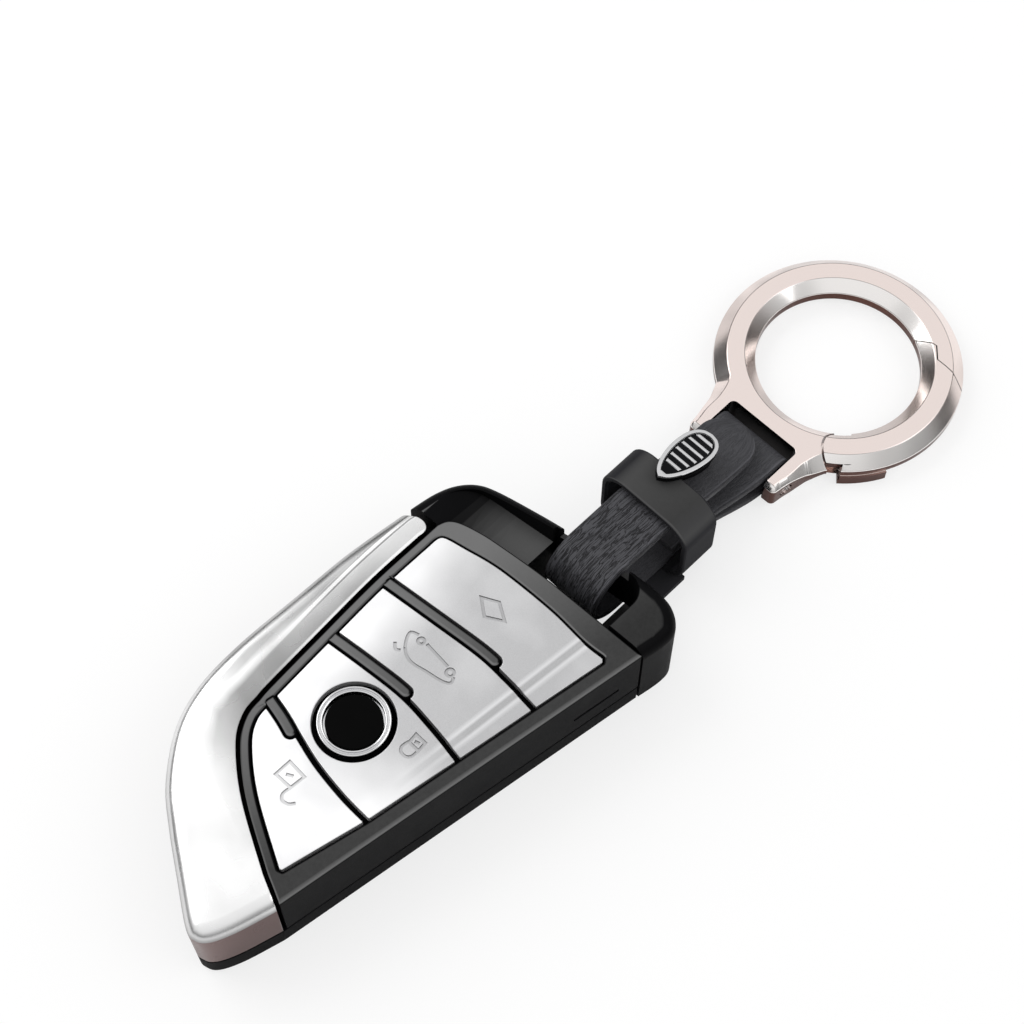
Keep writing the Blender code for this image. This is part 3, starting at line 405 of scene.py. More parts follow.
def soft_line(points, steps=8):
    """Points on a soft curve through the given points."""
    line = []
    last = len(points) - 1
    for index in range(last):
        before, start = points[max(index - 1, 0)], points[index]
        end, after = points[index + 1], points[min(index + 2, last)]
        for step in range(steps):
            t = step / steps
            line.append(0.5 * (
                start * 2.0 + (end - before) * t
                + (before * 2.0 - start * 5.0 + end * 4.0 - after) * t ** 2
                + (start * 3.0 - before - end * 3.0 + after) * t ** 3
            ))
    line.append(points[last])
    return line


def on_cover(shares):
    """Points at shares of the cover's width and length."""
    cover = settings().cover
    return [Vector((x * cover.width, y * cover.length)) for x, y in shares]


def without_loops(line, reach=24):
    """A line with the small loops cut off where it crosses itself."""
    line = list(line)
    index = 0
    while index < len(line) - 3:
        for later in range(min(index + reach, len(line) - 2), index + 1, -1):
            meet = intersect_line_line_2d(line[index], line[index + 1], line[later], line[later + 1])
            if meet:
                line[index + 1:later + 1] = [meet]
                break
        index += 1
    return line


def beside(points, distance, clear=0.985):
    """Points beside a line, to its left, without those too close to another stretch of it."""
    moved = []
    for index, point in enumerate(points):
        run = (points[min(index + 1, len(points) - 1)] - points[max(index - 1, 0)]).normalized()
        place = point + Vector((-run.y, run.x)) * distance
        if min((place - other).length for other in points) >= abs(distance) * clear:
            moved.append(place)
    return without_loops(moved)


def round_it(points, distance):
    """A closed outline set in or out by a distance."""
    return beside(points[-3:] + points + points[:3], distance)[3:-3]


def arc(centre, radius, start, end, steps):
    """Points along a part of a circle."""
    angles = [start + (end - start) * index / steps for index in range(steps + 1)]
    return [Vector((centre[0] + radius * math.cos(a), centre[1] + radius * math.sin(a))) for a in angles]


def rounded_rectangle(centre, width, height, corner, steps=6):
    """Outline of a rectangle with round corners."""
    line = []
    for turn, (side_x, side_y) in enumerate([(1, 1), (-1, 1), (-1, -1), (1, -1)]):
        middle = (centre[0] + side_x * (width / 2 - corner), centre[1] + side_y * (height / 2 - corner))
        line += arc(middle, corner, math.pi / 2 * turn, math.pi / 2 * (turn + 1), steps)
    return line


def rectangle(left, right, low, high):
    return [Vector((left, low)), Vector((right, low)), Vector((right, high)), Vector((left, high))]


def height_on(line, distance):
    """Second value of a line where its first value is a distance."""
    for first, second in zip(line, line[1:]):
        low, high = sorted([first, second], key=lambda point: point[0])
        if low[0] <= distance <= high[0] and high[0] > low[0]:
            return low[1] + (high[1] - low[1]) * (distance - low[0]) / (high[0] - low[0])
    return line[-1][1]


def ease(share):
    share = min(max(share, 0.0), 1.0)
    return share * share * (3.0 - 2.0 * share)


def side_line():
    return soft_line(on_cover(side_shares))


def seam_line():
    return soft_line(on_cover(seam_shares))


def cap_line():
    return soft_line(on_cover(cap_shares))


def panel_left_line():
    return soft_line(on_cover(panel_left_shares))


def panel_outline():
    """Outer edge of the four buttons together."""
    corner = on_cover(panel_corner_shares)
    rounded = soft_line([panel_left_line()[-1]] + corner + [on_cover(panel_end_shares)[0]], 4)[1:-1]
    far_end = soft_line(on_cover(panel_end_shares))
    return panel_left_line() + rounded + far_end + on_cover(panel_right_shares)


def beside_panel(distance):
    """A line that follows the left edge of the panel at a distance, from the right wall to the cap."""
    cover = settings().cover
    turn_y = side_line()[-1].y + cover.panel_gap + cover.bar_width + 2 * fit - distance
    return [Vector((cover.width / 2, turn_y))] + beside(panel_left_line(), distance)


def inner_outline(inset, right_inset, open_end):
    """The case in plan, set in from its left side and its right wall, up to the seam or open past it."""
    cover = settings().cover
    line = beside(side_line(), inset)
    turn_y = side_line()[-1].y + 2 * fit
    right = cover.width / 2 - right_inset
    if right_inset:
        line = [point for point in line if point.x < right and not (point.x > 0.0 and point.y > turn_y)]
        line.append(Vector((right, line[-1].y)))
    else:
        line += [Vector((line[-1].x, turn_y)), Vector((right, turn_y))]
    line = without_loops(line)
    if open_end:
        far = cover.length / 2 + over
        return line + [Vector((right, far)), Vector((line[0].x, far))]
    end = on_cover(blade_end_shares)
    share = (line[0].x - end[0].x) / (end[1].x - end[0].x)
    return line + seam_line() + [end[0], end[0].lerp(end[1], share)]


def strap_point(across, along, height):
    """A place beside the strap's line, seen from the bar in the cap."""
    return Vector((
        bar.x + across * math.cos(strap_turn) - along * math.sin(strap_turn),
        bar.y + across * math.sin(strap_turn) + along * math.cos(strap_turn),
        height,
    ))


def on_strap(point):
    """A point in plan as distance across and along the strap."""
    apart = point - bar.xy
    return Vector((
        apart.x * math.cos(strap_turn) + apart.y * math.sin(strap_turn),
        apart.y * math.cos(strap_turn) - apart.x * math.sin(strap_turn),
    ))


def ring_point(point, height):
    """A place seen from the middle of the ring."""
    return strap_point(ring_shift + point[0], ring_distance + point[1], height)


# Working with Blender's own tools


def pick(item):
    """Make an object the only one that the next tool works on."""
    bpy.ops.object.select_all(action="DESELECT")
    item.hide_set(False)
    item.select_set(True)
    bpy.context.view_layer.objects.active = item
    return item


def edit(item, *steps):
    """Run edit mode steps on an object. Each step takes its open mesh."""
    pick(item)
    bpy.ops.object.mode_set(mode="EDIT")
    for step in steps:
        step(bmesh.from_edit_mesh(item.data))
    bpy.ops.object.mode_set(mode="OBJECT")
    return item


def outward(shell):
    bpy.ops.mesh.select_all(action="SELECT")
    bpy.ops.mesh.normals_make_consistent(inside=False)


def welded(shell):
    bpy.ops.mesh.select_all(action="SELECT")
    bpy.ops.mesh.remove_doubles(threshold=weld)


def filled(shell):
    bpy.ops.mesh.select_all(action="SELECT")
    bpy.ops.mesh.fill_holes(sides=0)


def prism(outline, travel):
    """An outline in space, filled and drawn out along a direction."""
    bpy.ops.object.select_all(action="DESELECT")
    bpy.ops.mesh.primitive_circle_add(vertices=len(outline), radius=millimetre, fill_type="NGON")
    item = bpy.context.object
    for corner, place in zip(item.data.vertices, outline):
        corner.co = place

    def draw_out(shell):
        bpy.ops.mesh.select_all(action="SELECT")
        bpy.ops.mesh.extrude_region_move(TRANSFORM_OT_translate={"value": tuple(travel)})

    return edit(item, draw_out, outward)


def plate(outline, low, high):
    """An outline in plan, drawn from one height to another."""
    return prism([Vector((point[0], point[1], low)) for point in outline], (0.0, 0.0, high - low))


def turned(profile, centre, steps):
    """A closed profile of radius and height, spun about an upright axis."""
    bpy.ops.object.select_all(action="DESELECT")
    bpy.ops.mesh.primitive_circle_add(vertices=len(profile), radius=millimetre, fill_type="NOTHING")
    item = bpy.context.object
    for corner, (radius, height) in zip(item.data.vertices, profile):
        corner.co = (centre[0] + radius, centre[1], height)

    def spin(shell):
        bpy.ops.mesh.select_all(action="SELECT")
        bpy.ops.mesh.spin(steps=steps, angle=2.0 * math.pi, center=(centre[0], centre[1], 0.0),
                          axis=(0.0, 0.0, 1.0), use_auto_merge=True)
        bpy.ops.mesh.select_all(action="SELECT")
        bpy.ops.mesh.remove_doubles(threshold=weld)
        bpy.ops.mesh.dissolve_degenerate(threshold=weld)
        bpy.ops.mesh.delete_loose()

    return edit(item, spin, outward)


def bar_between(start, end, radius, steps=32):
    """A round bar between two places."""
    bpy.ops.object.select_all(action="DESELECT")
    run = end - start
    turn = run.to_track_quat("Z", "Y").to_euler()
    bpy.ops.mesh.primitive_cylinder_add(vertices=steps, radius=radius, depth=run.length,
                                        location=(start + end) / 2, rotation=turn)
    item = bpy.context.object
    bpy.ops.object.transform_apply(location=True, rotation=True, scale=True)
    return item


def grid(columns, rows, place):
    """A sheet of four-sided faces. place gives each corner's position from its shares across and along."""
    bpy.ops.object.select_all(action="DESELECT")
    bpy.ops.mesh.primitive_grid_add(x_subdivisions=columns, y_subdivisions=rows, size=2.0)
    item = bpy.context.object
    for corner in item.data.vertices:
        corner.co = place((corner.co.x + 1.0) / 2.0, (corner.co.y + 1.0) / 2.0)
    return item


def stacked(rows):
    """A closed shape from rings of as many places each, from one end to the other."""
    count, last = len(rows[0]), len(rows) - 1
    item = grid(count, last, lambda around, up: rows[round(up * last)][round(around * count) % count])

    return edit(item, welded, filled, outward)


def across_on(line, along):
    """Where a line crosses a height of the plan, and the cosine of its slope there."""
    for first, second in zip(line, line[1:]):
        low, high = sorted((first, second), key=lambda point: point.y)
        if low.y <= along <= high.y and high.y > low.y:
            run = high - low
            return Vector((low.x + run.x * (along - low.y) / run.y, run.y / run.length))
    ends = sorted((line[0], line[-1]), key=lambda point: abs(point.y - along))
    return Vector((ends[0].x, 1.0))


def nearest(line, point, closed=True):
    """The place on a line that lies nearest to a point."""
    best = line[0]
    for first, second in zip(line, line[1:] + line[:1] if closed else line[1:]):
        run = second - first
        share = min(max((point - first).dot(run) / max(run.length_squared, weld ** 2), 0.0), 1.0)
        place = first + run * share
        if (place - point).length < (best - point).length:
            best = place
    return best


def combine(item, tool, operation):
    """Join, cut or trim an object with another one, which is used up."""
    step = item.modifiers.new("combine", "BOOLEAN")
    step.operation = operation
    step.solver = "EXACT"
    step.object = tool
    pick(item)
    bpy.ops.object.modifier_apply(modifier=step.name)
    bpy.data.objects.remove(tool, do_unlink=True)
    return item


def cut(item, *tools):
    for tool in tools:
        combine(item, tool, "DIFFERENCE")
    return item


def join(item, *tools):
    for tool in tools:
        combine(item, tool, "UNION")
    return item


def trim(item, *tools):
    for tool in tools:
        combine(item, tool, "INTERSECT")
    return item


def tidy_faces(item, angle=0.4, reach=weld):
    """Weld corners and join faces that lie in one plane."""

    def flatten(shell):
        bpy.ops.mesh.select_all(action="SELECT")
        bpy.ops.mesh.remove_doubles(threshold=reach)
        bpy.ops.mesh.dissolve_limited(angle_limit=math.radians(angle))

    return edit(item, flatten)


def soften(item, width, segments, angle, share=None):
    """Round the edges sharper than an angle. share gives the part of the width that an edge gets."""
    tidy_faces(item, reach=15 * weld)
    before = BVHTree.FromPolygons([corner.co.copy() for corner in item.data.vertices],
                                  [list(face.vertices) for face in item.data.polygons])
    weights = item.data.attributes.new("bevel_weight_edge", "FLOAT", "EDGE")
    shell = bmesh.new()
    shell.from_mesh(item.data)
    shell.edges.ensure_lookup_table()
    values = []
    for edge in shell.edges:
        sharp = len(edge.link_faces) == 2 and edge.calc_face_angle(0.0) > angle
        middle = (edge.verts[0].co + edge.verts[1].co) / 2
        values.append((share(middle) if share else 1.0) if sharp else 0.0)
    shell.free()
    weights.data.foreach_set("value", values)
    step = item.modifiers.new("soften", "BEVEL")
    step.limit_method = "WEIGHT"
    step.width = width
    step.segments = segments
    step.use_clamp_overlap = False
    step.miter_outer = "MITER_ARC" if segments > 2 else "MITER_SHARP"
    step.harden_normals = False
    pick(item)
    bpy.ops.object.modifier_apply(modifier=step.name)
    for corner in item.data.vertices:
        place, _, _, apart = before.find_nearest(corner.co)
        if apart > width * 0.6:
            corner.co = place

    def close(shell):
        welded(shell)
        bpy.ops.mesh.dissolve_degenerate(threshold=weld)
        bpy.ops.mesh.delete_loose()
        filled(shell)

    return edit(item, close)


def shade(item, angle=math.radians(28.0)):
    """Smooth shading up to an angle, with large faces kept even."""
    pick(item)
    bpy.ops.object.shade_smooth_by_angle(angle=angle)
    step = item.modifiers.new("even", "WEIGHTED_NORMAL")
    step.keep_sharp = True
    bpy.ops.object.modifier_apply(modifier=step.name)
    return item


def as_piece(item, name, finish, body, *replaced):
    """Name a finished piece, give it its material and tie it to the frame."""
    item.name = name
    item.data.name = name
    item.data.materials.clear()
    item.data.materials.append(finish)
    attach(item, body)
    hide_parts(*replaced)
    return item


def dress(name, finish):
    """Give one of the frame's own shapes a material."""
    item = nodes[name]
    item.data.materials.clear()
    item.data.materials.append(finish)


# Materials

# Fine patterns count in millimetres, and their bumps are this deep
fine_scale = (1000.0, 1000.0, 1000.0)
fine_depth = 0.00002


class Value:
    """One output of a material's nodes, ready for sums."""

    def __init__(self, finish, socket):
        self.finish = finish
        self.socket = socket

    def sum_with(self, other, operation, swapped=False):
        pair = (other, self) if swapped else (self, other)
        return self.finish.node("ShaderNodeMath", {"operation": operation}, {0: pair[0], 1: pair[1]})

    def __add__(self, other):
        return self.sum_with(other, "ADD")

    def __radd__(self, other):
        return self.sum_with(other, "ADD", True)

    def __sub__(self, other):
        return self.sum_with(other, "SUBTRACT")

    def __rsub__(self, other):
        return self.sum_with(other, "SUBTRACT", True)

    def __mul__(self, other):
        return self.sum_with(other, "MULTIPLY")

    def __rmul__(self, other):
        return self.sum_with(other, "MULTIPLY", True)

    def size(self):
        return self.finish.node("ShaderNodeMath", {"operation": "ABSOLUTE"}, {0: self})

    def at_most(self, other):
        return self.sum_with(other, "MINIMUM")

    def at_least(self, other):
        return self.sum_with(other, "MAXIMUM")


class Finish:
    """A material and its nodes, with one way to add a node."""

    def __init__(self, name, **plain):
        self.surface = bpy.data.materials.new(name)
        self.surface.use_nodes = True
        self.tree = self.surface.node_tree
        self.shader = self.tree.nodes["Principled BSDF"]
        for socket, value in plain.items():
            self.shader.inputs[socket.replace("_", " ")].default_value = value

    def node(self, kind, choices=None, sockets=None, output=0):
        """Add a node: its choices first, then values or links for its sockets."""
        made = self.tree.nodes.new(kind)
        for key, value in (choices or {}).items():
            if key == "stops":
                ramp = made.color_ramp.elements
                ramp[0].position, ramp[0].color = value[0]
                ramp[1].position, ramp[1].color = value[-1]
                for place, colour in value[1:-1]:
                    ramp.new(place).color = colour
            else:
                setattr(made, key, value)
        for key, value in (sockets or {}).items():
            if isinstance(value, Value):
                self.tree.links.new(value.socket, made.inputs[key])
            else:
                made.inputs[key].default_value = value
        return Value(self, made.outputs[output])

    def place(self, scale=(1.0, 1.0, 1.0), turn=(0.0, 0.0, 0.0), pattern="Object"):
        """Object coordinates or the piece's UV map, turned and scaled."""
        start = self.node("ShaderNodeTexCoord", output=pattern)
        return self.node("ShaderNodeMapping", {}, {"Vector": start, "Rotation": turn, "Scale": scale})

    def along(self, direction, pattern="Object"):
        """How far a point lies along a direction, or how much its face looks that way."""
        start = self.node("ShaderNodeTexCoord", output=pattern)
        return self.dot(start, direction)

    def dot(self, first, second):
        return self.node("ShaderNodeVectorMath", {"operation": "DOT_PRODUCT"}, {0: first, 1: second}, "Value")

    def noise(self, place, scale, detail=3.0, roughness=0.5):
        return self.node("ShaderNodeTexNoise", {}, {"Vector": place, "Scale": scale, "Detail": detail,
                                                    "Roughness": roughness})

    def between(self, value, low, high, from_low=0.0, from_high=1.0):
        """A value carried from one range to another."""
        return self.node("ShaderNodeMapRange", {"clamp": True}, {
            "Value": value, "From Min": from_low, "From Max": from_high, "To Min": low, "To Max": high})

    def mix(self, share, first, second):
        """A blend of two colours."""
        made = self.node("ShaderNodeMix", {"data_type": "RGBA"}, output=2)
        holder = made.socket.node
        for index, value in ((0, share), (6, first), (7, second)):
            if isinstance(value, Value):
                self.tree.links.new(value.socket, holder.inputs[index])
            else:
                holder.inputs[index].default_value = value
        return made

    def from_line(self, line):
        """How far a point lies to the right of a line that runs along the cover, in plan."""
        low, high, span = -0.045, 0.045, 0.05
        last = 31
        stops = []
        for index in range(last + 1):
            place = across_on(line, low + (high - low) * index / last)
            stops.append((index / last, ((place.x + span) / (2 * span), (place.y + 1.0) / 2.0, 0.0, 1.0)))
        share = self.between(self.along((0.0, 1.0, 0.0)), 0.0, 1.0, low, high)
        ramp = self.node("ShaderNodeValToRGB", {"stops": stops}, {"Fac": share})
        across = self.node("ShaderNodeSeparateColor", {}, {"Color": ramp})
        slope = Value(self, across.socket.node.outputs[1]) * 2.0 - 1.0
        middle = across * (2 * span) - span
        return (self.along((1.0, 0.0, 0.0)) - middle) * slope

    def bump(self, height, strength, distance):
        """A normal from a height."""
        return self.node("ShaderNodeBump", {}, {"Height": height, "Strength": strength, "Distance": distance})

    def feed(self, socket, value):
        self.tree.links.new(value.socket, self.shader.inputs[socket])


class Sky(Finish):
    """The light from all round and its nodes."""

    def __init__(self, name):
        self.surface = bpy.data.worlds.new(name)
        self.surface.use_nodes = True
        self.tree = self.surface.node_tree
        self.shader = self.tree.nodes["Background"]


def shade_of(colour, level):
    """A colour made lighter or darker, with full opacity."""
    return tuple(min(part * level, 1.0) for part in colour) + (1.0,)


def moulded_black(name, colour, grain=0.9, roughness=0.5, top=0.0, from_height=0.0, steep=0.80, glint=1.0):
    """Black plastic with a fine matt grain. Faces that look up, above a height, can get a painted lit grey
    that fades from -X to +X, and edges leaning toward (0.6, -0.8) a painted highlight.
    """
    finish = Finish(name, IOR=1.5)
    finish.shader.inputs["Specular IOR Level"].default_value = 0.025
    place = finish.place(fine_scale)
    fine = finish.noise(place, 7.0, 2.0)
    broad = finish.noise(place, 0.12, 3.0)
    dark = finish.mix(finish.between(broad, 0.0, 1.0, 0.3, 0.7), shade_of(colour, 0.8), shade_of(colour, 1.2))
    # Painted light: upward faces above from_height get the lit grey top, lighter toward -X and darker toward
    # +X; faces below keep the plain black.
    if top:
        upward = finish.between(finish.along((0.10, -0.14, 0.985), "Normal"), 0.0, 1.0, steep, 0.985)
        high = finish.between(finish.along((0.0, 0.0, 1.0)), 0.0, 1.0, from_height - 0.0006, from_height)
        mottle = finish.noise(place, 1.6, 3.0, 0.6)
        grain_share = finish.between(mottle * 0.65 + fine * 0.35, 0.0, 1.0, 0.38, 0.62)
        grey = finish.mix(grain_share, shade_of((top, top, top), 0.88), shade_of((top, top, top), 1.12))
        lean = finish.between(finish.along((0.6, -0.8, 0.0), "Normal"), 0.0, 1.0, 0.08, 0.5)
        painted_light_falloff = finish.between(finish.along((1.0, 0.0, 0.0)), 0.0, 1.0, -0.0080, 0.0160)
        painted_lit_grey = finish.mix(0.8, grey, shade_of((top, top, top), 2.1))
        painted_shaded_grey = finish.mix(0.6, grey, shade_of((top, top, top), 0.25))
        dark = finish.mix(upward * high, dark, finish.mix(painted_light_falloff, painted_lit_grey, painted_shaded_grey))
        # Painted highlight on edges that lean toward (0.6, -0.8), scaled by glint.
        raised = finish.between(finish.along((0.0, 0.0, 1.0), "Normal").size(), 0.0, glint, 0.30, 0.60)
        dark = finish.mix(lean * raised * high, dark, shade_of((top, top, top), 2.2))
    finish.feed("Base Color", dark)
    finish.feed("Roughness", finish.between(fine * 0.5 + broad * 0.5, roughness - 0.07, roughness + 0.08,
                                            0.3, 0.7))
    finish.feed("Normal", finish.bump(fine, 0.25 * grain, fine_depth))
    return finish.surface


def polishing_marks(finish):
    """Fine marks drawn out along one direction."""
    return finish.noise(finish.place((300.0, 6000.0, 6000.0), (0.0, 0.0, 0.5)), 1.0, 2.0)


def polished(name, colour, roughness=0.08, haze=0.06):
    """Bright plated metal with faint polishing marks."""
    finish = Finish(name, Metallic=1.0)
    place = finish.place(fine_scale)
    cloud = finish.noise(place, 0.15, 3.0)
    marks = polishing_marks(finish)
    finish.feed("Base Color", finish.mix(cloud, shade_of(colour, 0.97), shade_of(colour, 1.03)))
    finish.feed("Roughness", finish.between(cloud * 0.6 + marks * 0.4, roughness, roughness + haze, 0.3, 0.7))
    finish.feed("Normal", finish.bump(marks, 0.06, fine_depth / 2))
    return finish.surface


def blade_upper_reflections(finish, from_bar, along):
    """Painted reflections on the blade beside the buttons: a band, a painted highlight strip between two fine
    painted dark lines, a grey facet.
    """
    strip_start, strip_end = 0.0032, 0.0040
    # Painted reflection band beside the bar, with a painted highlight right at the bar's edge.
    high = finish.between(along, 0.40, 0.85, -0.0120, 0.0140)
    low = finish.between(along, 0.40, 0.75, 0.0040, 0.0160)
    reflection_band_tone = low + (high - low) * finish.between(from_bar, 0.0, 1.0, 0.0005, 0.0030)
    reflection_band_tone = reflection_band_tone + finish.between(from_bar, 0.5, 0.0, 0.0003, 0.0006)
    facet = finish.between(along, 0.54, 0.43, -0.0140, 0.0020)
    tone = 0.95 + finish.between(from_bar, 0.0, 1.0, 0.0038, 0.0043) * (facet - 0.95)
    tone = reflection_band_tone + finish.between(from_bar, 0.0, 1.0, 0.0031, 0.0033) * (tone - reflection_band_tone)
    # Two painted dark lines along the fold, fading toward the tip.
    for place, depth in ((from_bar - strip_start, 0.60), (from_bar - strip_end, 0.42)):
        line = finish.between(place.size(), 1.0, 0.0, 0.00008, 0.00018)
        tone = tone * (1.0 - line * finish.between(along, 0.0, depth, -0.0060, 0.0030))
    return tone


def blade_lower_reflections(finish, from_bar, along):
    """Painted reflections on the blade round the tip: white, with a painted grey band beside the bar and a
    painted grey outer facet.
    """
    beside_bar = finish.between(from_bar, 0.62, 0.0, 0.0028, 0.0042)
    beside_bar = beside_bar * finish.between(along, 0.0, 1.0, -0.0295, -0.0175)
    facet = finish.between(from_bar, 0.0, 0.42, 0.0042, 0.0050)
    facet = facet * finish.between(along, 0.0, 1.0, -0.0200, -0.0140)
    return 0.96 - beside_bar - facet


def blade_metal(name, colour, outer_line, bar_line):
    """Bright metal of the blade, with painted reflections and shade for its folds and a painted warm
    reflection on its dark side.
    """
    finish = Finish(name, Metallic=1.0)
    cloud = finish.noise(finish.place((120.0, 120.0, 120.0)), 1.0, 2.0)
    from_edge = finish.from_line(outer_line)
    from_bar = finish.from_line(bar_line) * -1.0
    along = finish.along((0.0, 1.0, 0.0))
    upper = blade_upper_reflections(finish, from_bar, along)
    lower = blade_lower_reflections(finish, from_bar, along)
    level = lower + finish.between(along, 0.0, 1.0, -0.0150, -0.0030) * (upper - lower)
    # Painted shade on the rounded outer rim toward the tip.
    rim = finish.between(from_edge, 1.0, 0.0, 0.0006, 0.0016)
    rim = rim * finish.between(along, 0.0, 1.0, -0.0330, -0.0200)
    level = level - rim * finish.between(along, 1.0, 0.0, -0.0180, -0.0080) * 0.30
    level = level + finish.between(cloud, -0.03, 0.03, 0.35, 0.65)
    # Painted shade on steep faces, stronger on the rounding at the tip.
    upright = finish.along((0.0, 0.0, 1.0), "Normal").size()
    tip = finish.between(along, 1.0, 0.0, -0.0330, -0.0260)
    level = level + finish.between(upright, 1.0, 0.0, 0.20, 0.985) * tip * (0.42 - level)
    level = level + finish.between(upright, 1.0, 0.0, 0.10, 0.45) * (0.30 - level)
    tone = finish.mix(level, (0.004, 0.0035, 0.0035, 1.0), shade_of(colour, 1.25))
    # Painted warm reflection on the upright sides.
    side = finish.between(upright, 1.0, 0.0, 0.05, 0.16)
    tone = finish.mix(side, tone, (0.120, 0.055, 0.048, 1.0))
    finish.feed("Base Color", tone)
    finish.feed("Roughness", finish.between(cloud, 0.24, 0.30, 0.3, 0.7))
    finish.feed("Normal", finish.bump(cloud, 0.03, fine_depth))
    return finish.surface


def warm_metal(name, colour):
    """Warm nickel with painted light: lighter where it looks up, deeper on its slanted sides and a painted
    brown reflection on its upright ones, with painted shade in the strap window.
    """
    finish = Finish(name, Metallic=1.0)
    place = finish.place(fine_scale)
    broad = finish.noise(place, 0.10, 1.0)
    marks = polishing_marks(finish)
    upward = finish.along((0.0, 0.0, 1.0), "Normal")
    # Painted light: slanted faces darker with random patches, upward faces lighter.
    patches = finish.between(broad, 0.0, 1.0, 0.38, 0.60)
    slanted = finish.mix(patches, shade_of(colour, 0.70), shade_of(colour, 1.1))
    # Painted highlight on slanted faces that face (0.6, -0.8).
    toward = finish.between(finish.along((0.6, -0.8, 0.0), "Normal"), 0.0, 1.0, 0.05, 0.40)
    slanted = finish.mix(toward, slanted, (0.98, 0.95, 0.93, 1.0))
    tone = finish.mix(finish.between(upward, 0.0, 1.0, 0.80, 0.96), slanted, shade_of(colour, 1.20))
    # Painted dark line on faces tilted about 30 degrees from up.
    line = finish.between((upward - 0.86).size(), 1.0, 0.0, 0.03, 0.10)
    tone = finish.mix(line * 0.65, tone, shade_of(colour, 0.25))
    # Painted brown reflection on the upright faces.
    brown = finish.mix(broad, (0.070, 0.032, 0.026, 1.0), (0.13, 0.058, 0.045, 1.0))
    # Painted shade: the upright walls of the strap window are near black.
    middle = strap_point(ring_shift, 0.0, 0.0)
    start = strap_point(0.0, 0.0, 0.0)
    sideways, forward = strap_point(1.0, 0.0, 0.0) - start, strap_point(0.0, 1.0, 0.0) - start
    across = finish.along(sideways) - middle.dot(sideways)
    along = finish.along(forward) - middle.dot(forward)
    window = finish.between(across.size(), 1.0, 0.0, 0.0071, 0.0074)
    window = window * finish.between(along, 1.0, 0.0, 0.0398, 0.0402)
    brown = finish.mix(window, brown, (0.012, 0.009, 0.009, 1.0))
    tone = finish.mix(finish.between(upward.size(), 0.0, 1.0, 0.10, 0.32), brown, tone)
    finish.feed("Base Color", tone)
    finish.feed("Roughness", finish.between(broad * 0.6 + marks * 0.4, 0.12, 0.20, 0.3, 0.7))
    finish.feed("Normal", finish.bump(marks, 0.05, fine_depth / 2))
    return finish.surface


def satin_silver(name, colour):
    """Silver lacquer with fine metal flakes, painted light in soft gradients, a painted highlight band along
    the crease and painted shade in the signs.
    """
    finish = Finish(name, Metallic=0.7)
    place = finish.place(fine_scale)
    flakes = finish.noise(place, 16.0, 1.0)
    cloud = finish.noise(place, 0.1, 2.0)
    # Painted light: lighter toward -X and toward (0.5, -0.85), with a random cloud.
    left = finish.between(finish.along((1.0, 0.30, 0.0)), 1.0, 0.0, -0.0055, 0.0028)
    low = finish.between(finish.along((0.5, -0.85, 0.0)), 0.0, 1.0, 0.0060, 0.0185)
    light = left.at_least(low) * 0.85 + finish.between(cloud, -0.10, 0.15, 0.35, 0.65)
    tone = finish.mix(light, shade_of(colour, 0.72), shade_of(colour, 1.42))
    across = finish.along((1.0, crease_slant, 0.0))
    fade = finish.between(finish.along((0.0, 1.0, 0.0)), 0.0, 1.0, -0.0080, 0.0060)
    soft = 0.00022
    rising = finish.between(across, 0.0, 1.0, crease_lines[0] - soft, crease_lines[0] + soft)
    falling = finish.between(across, 1.0, 0.0, crease_lines[1] - soft, crease_lines[1] + soft)
    wide = 0.0009
    before = finish.between(across, 0.0, 1.0, crease_lines[0] - wide, crease_lines[0])
    after = finish.between(across, 1.0, 0.0, crease_lines[1], crease_lines[1] + wide)
    sunk = finish.between(finish.along((0.0, 0.0, 1.0)), 1.0, 0.0, plate_top - 0.00012, plate_top - 0.00004)
    sign = sunk * finish.between(across, 1.0, 0.0, crease_lines[0] - 2 * soft, crease_lines[0] - soft)
    # Painted highlight either side of the crease and painted shade on its step, both fading toward the tip.
    glow = before * after * fade * 0.8
    tone = finish.mix(glow, tone, shade_of(colour, 1.32))
    tone = finish.mix(rising * falling * fade * 0.85, tone, shade_of(colour, 0.52))
    # Painted shade in the signs: their floor a little darker, their walls near black.
    tone = finish.mix(sign * 0.30, tone, shade_of(colour, 0.30))
    wall = finish.between(finish.along((0.0, 0.0, 1.0), "Normal").size(), 1.0, 0.0, 0.2, 0.8)
    inside = finish.between(finish.along((0.0, 0.0, 1.0)), 0.0, 1.0, plate_top - 0.00032, plate_top - 0.00026)
    tone = finish.mix(wall * inside * 0.9, tone, shade_of(colour, 0.05))
    sparkle = finish.between(flakes, 0.0, 0.22, 0.35, 0.65)
    finish.feed("Base Color", finish.mix(sparkle, tone, (0.9, 0.9, 0.91, 1.0)))
    finish.feed("Roughness", finish.between(cloud * 0.5 + flakes * 0.5, 0.34, 0.46, 0.3, 0.7))
    finish.feed("Normal", finish.bump(flakes, 0.12, fine_depth / 2))
    return finish.surface


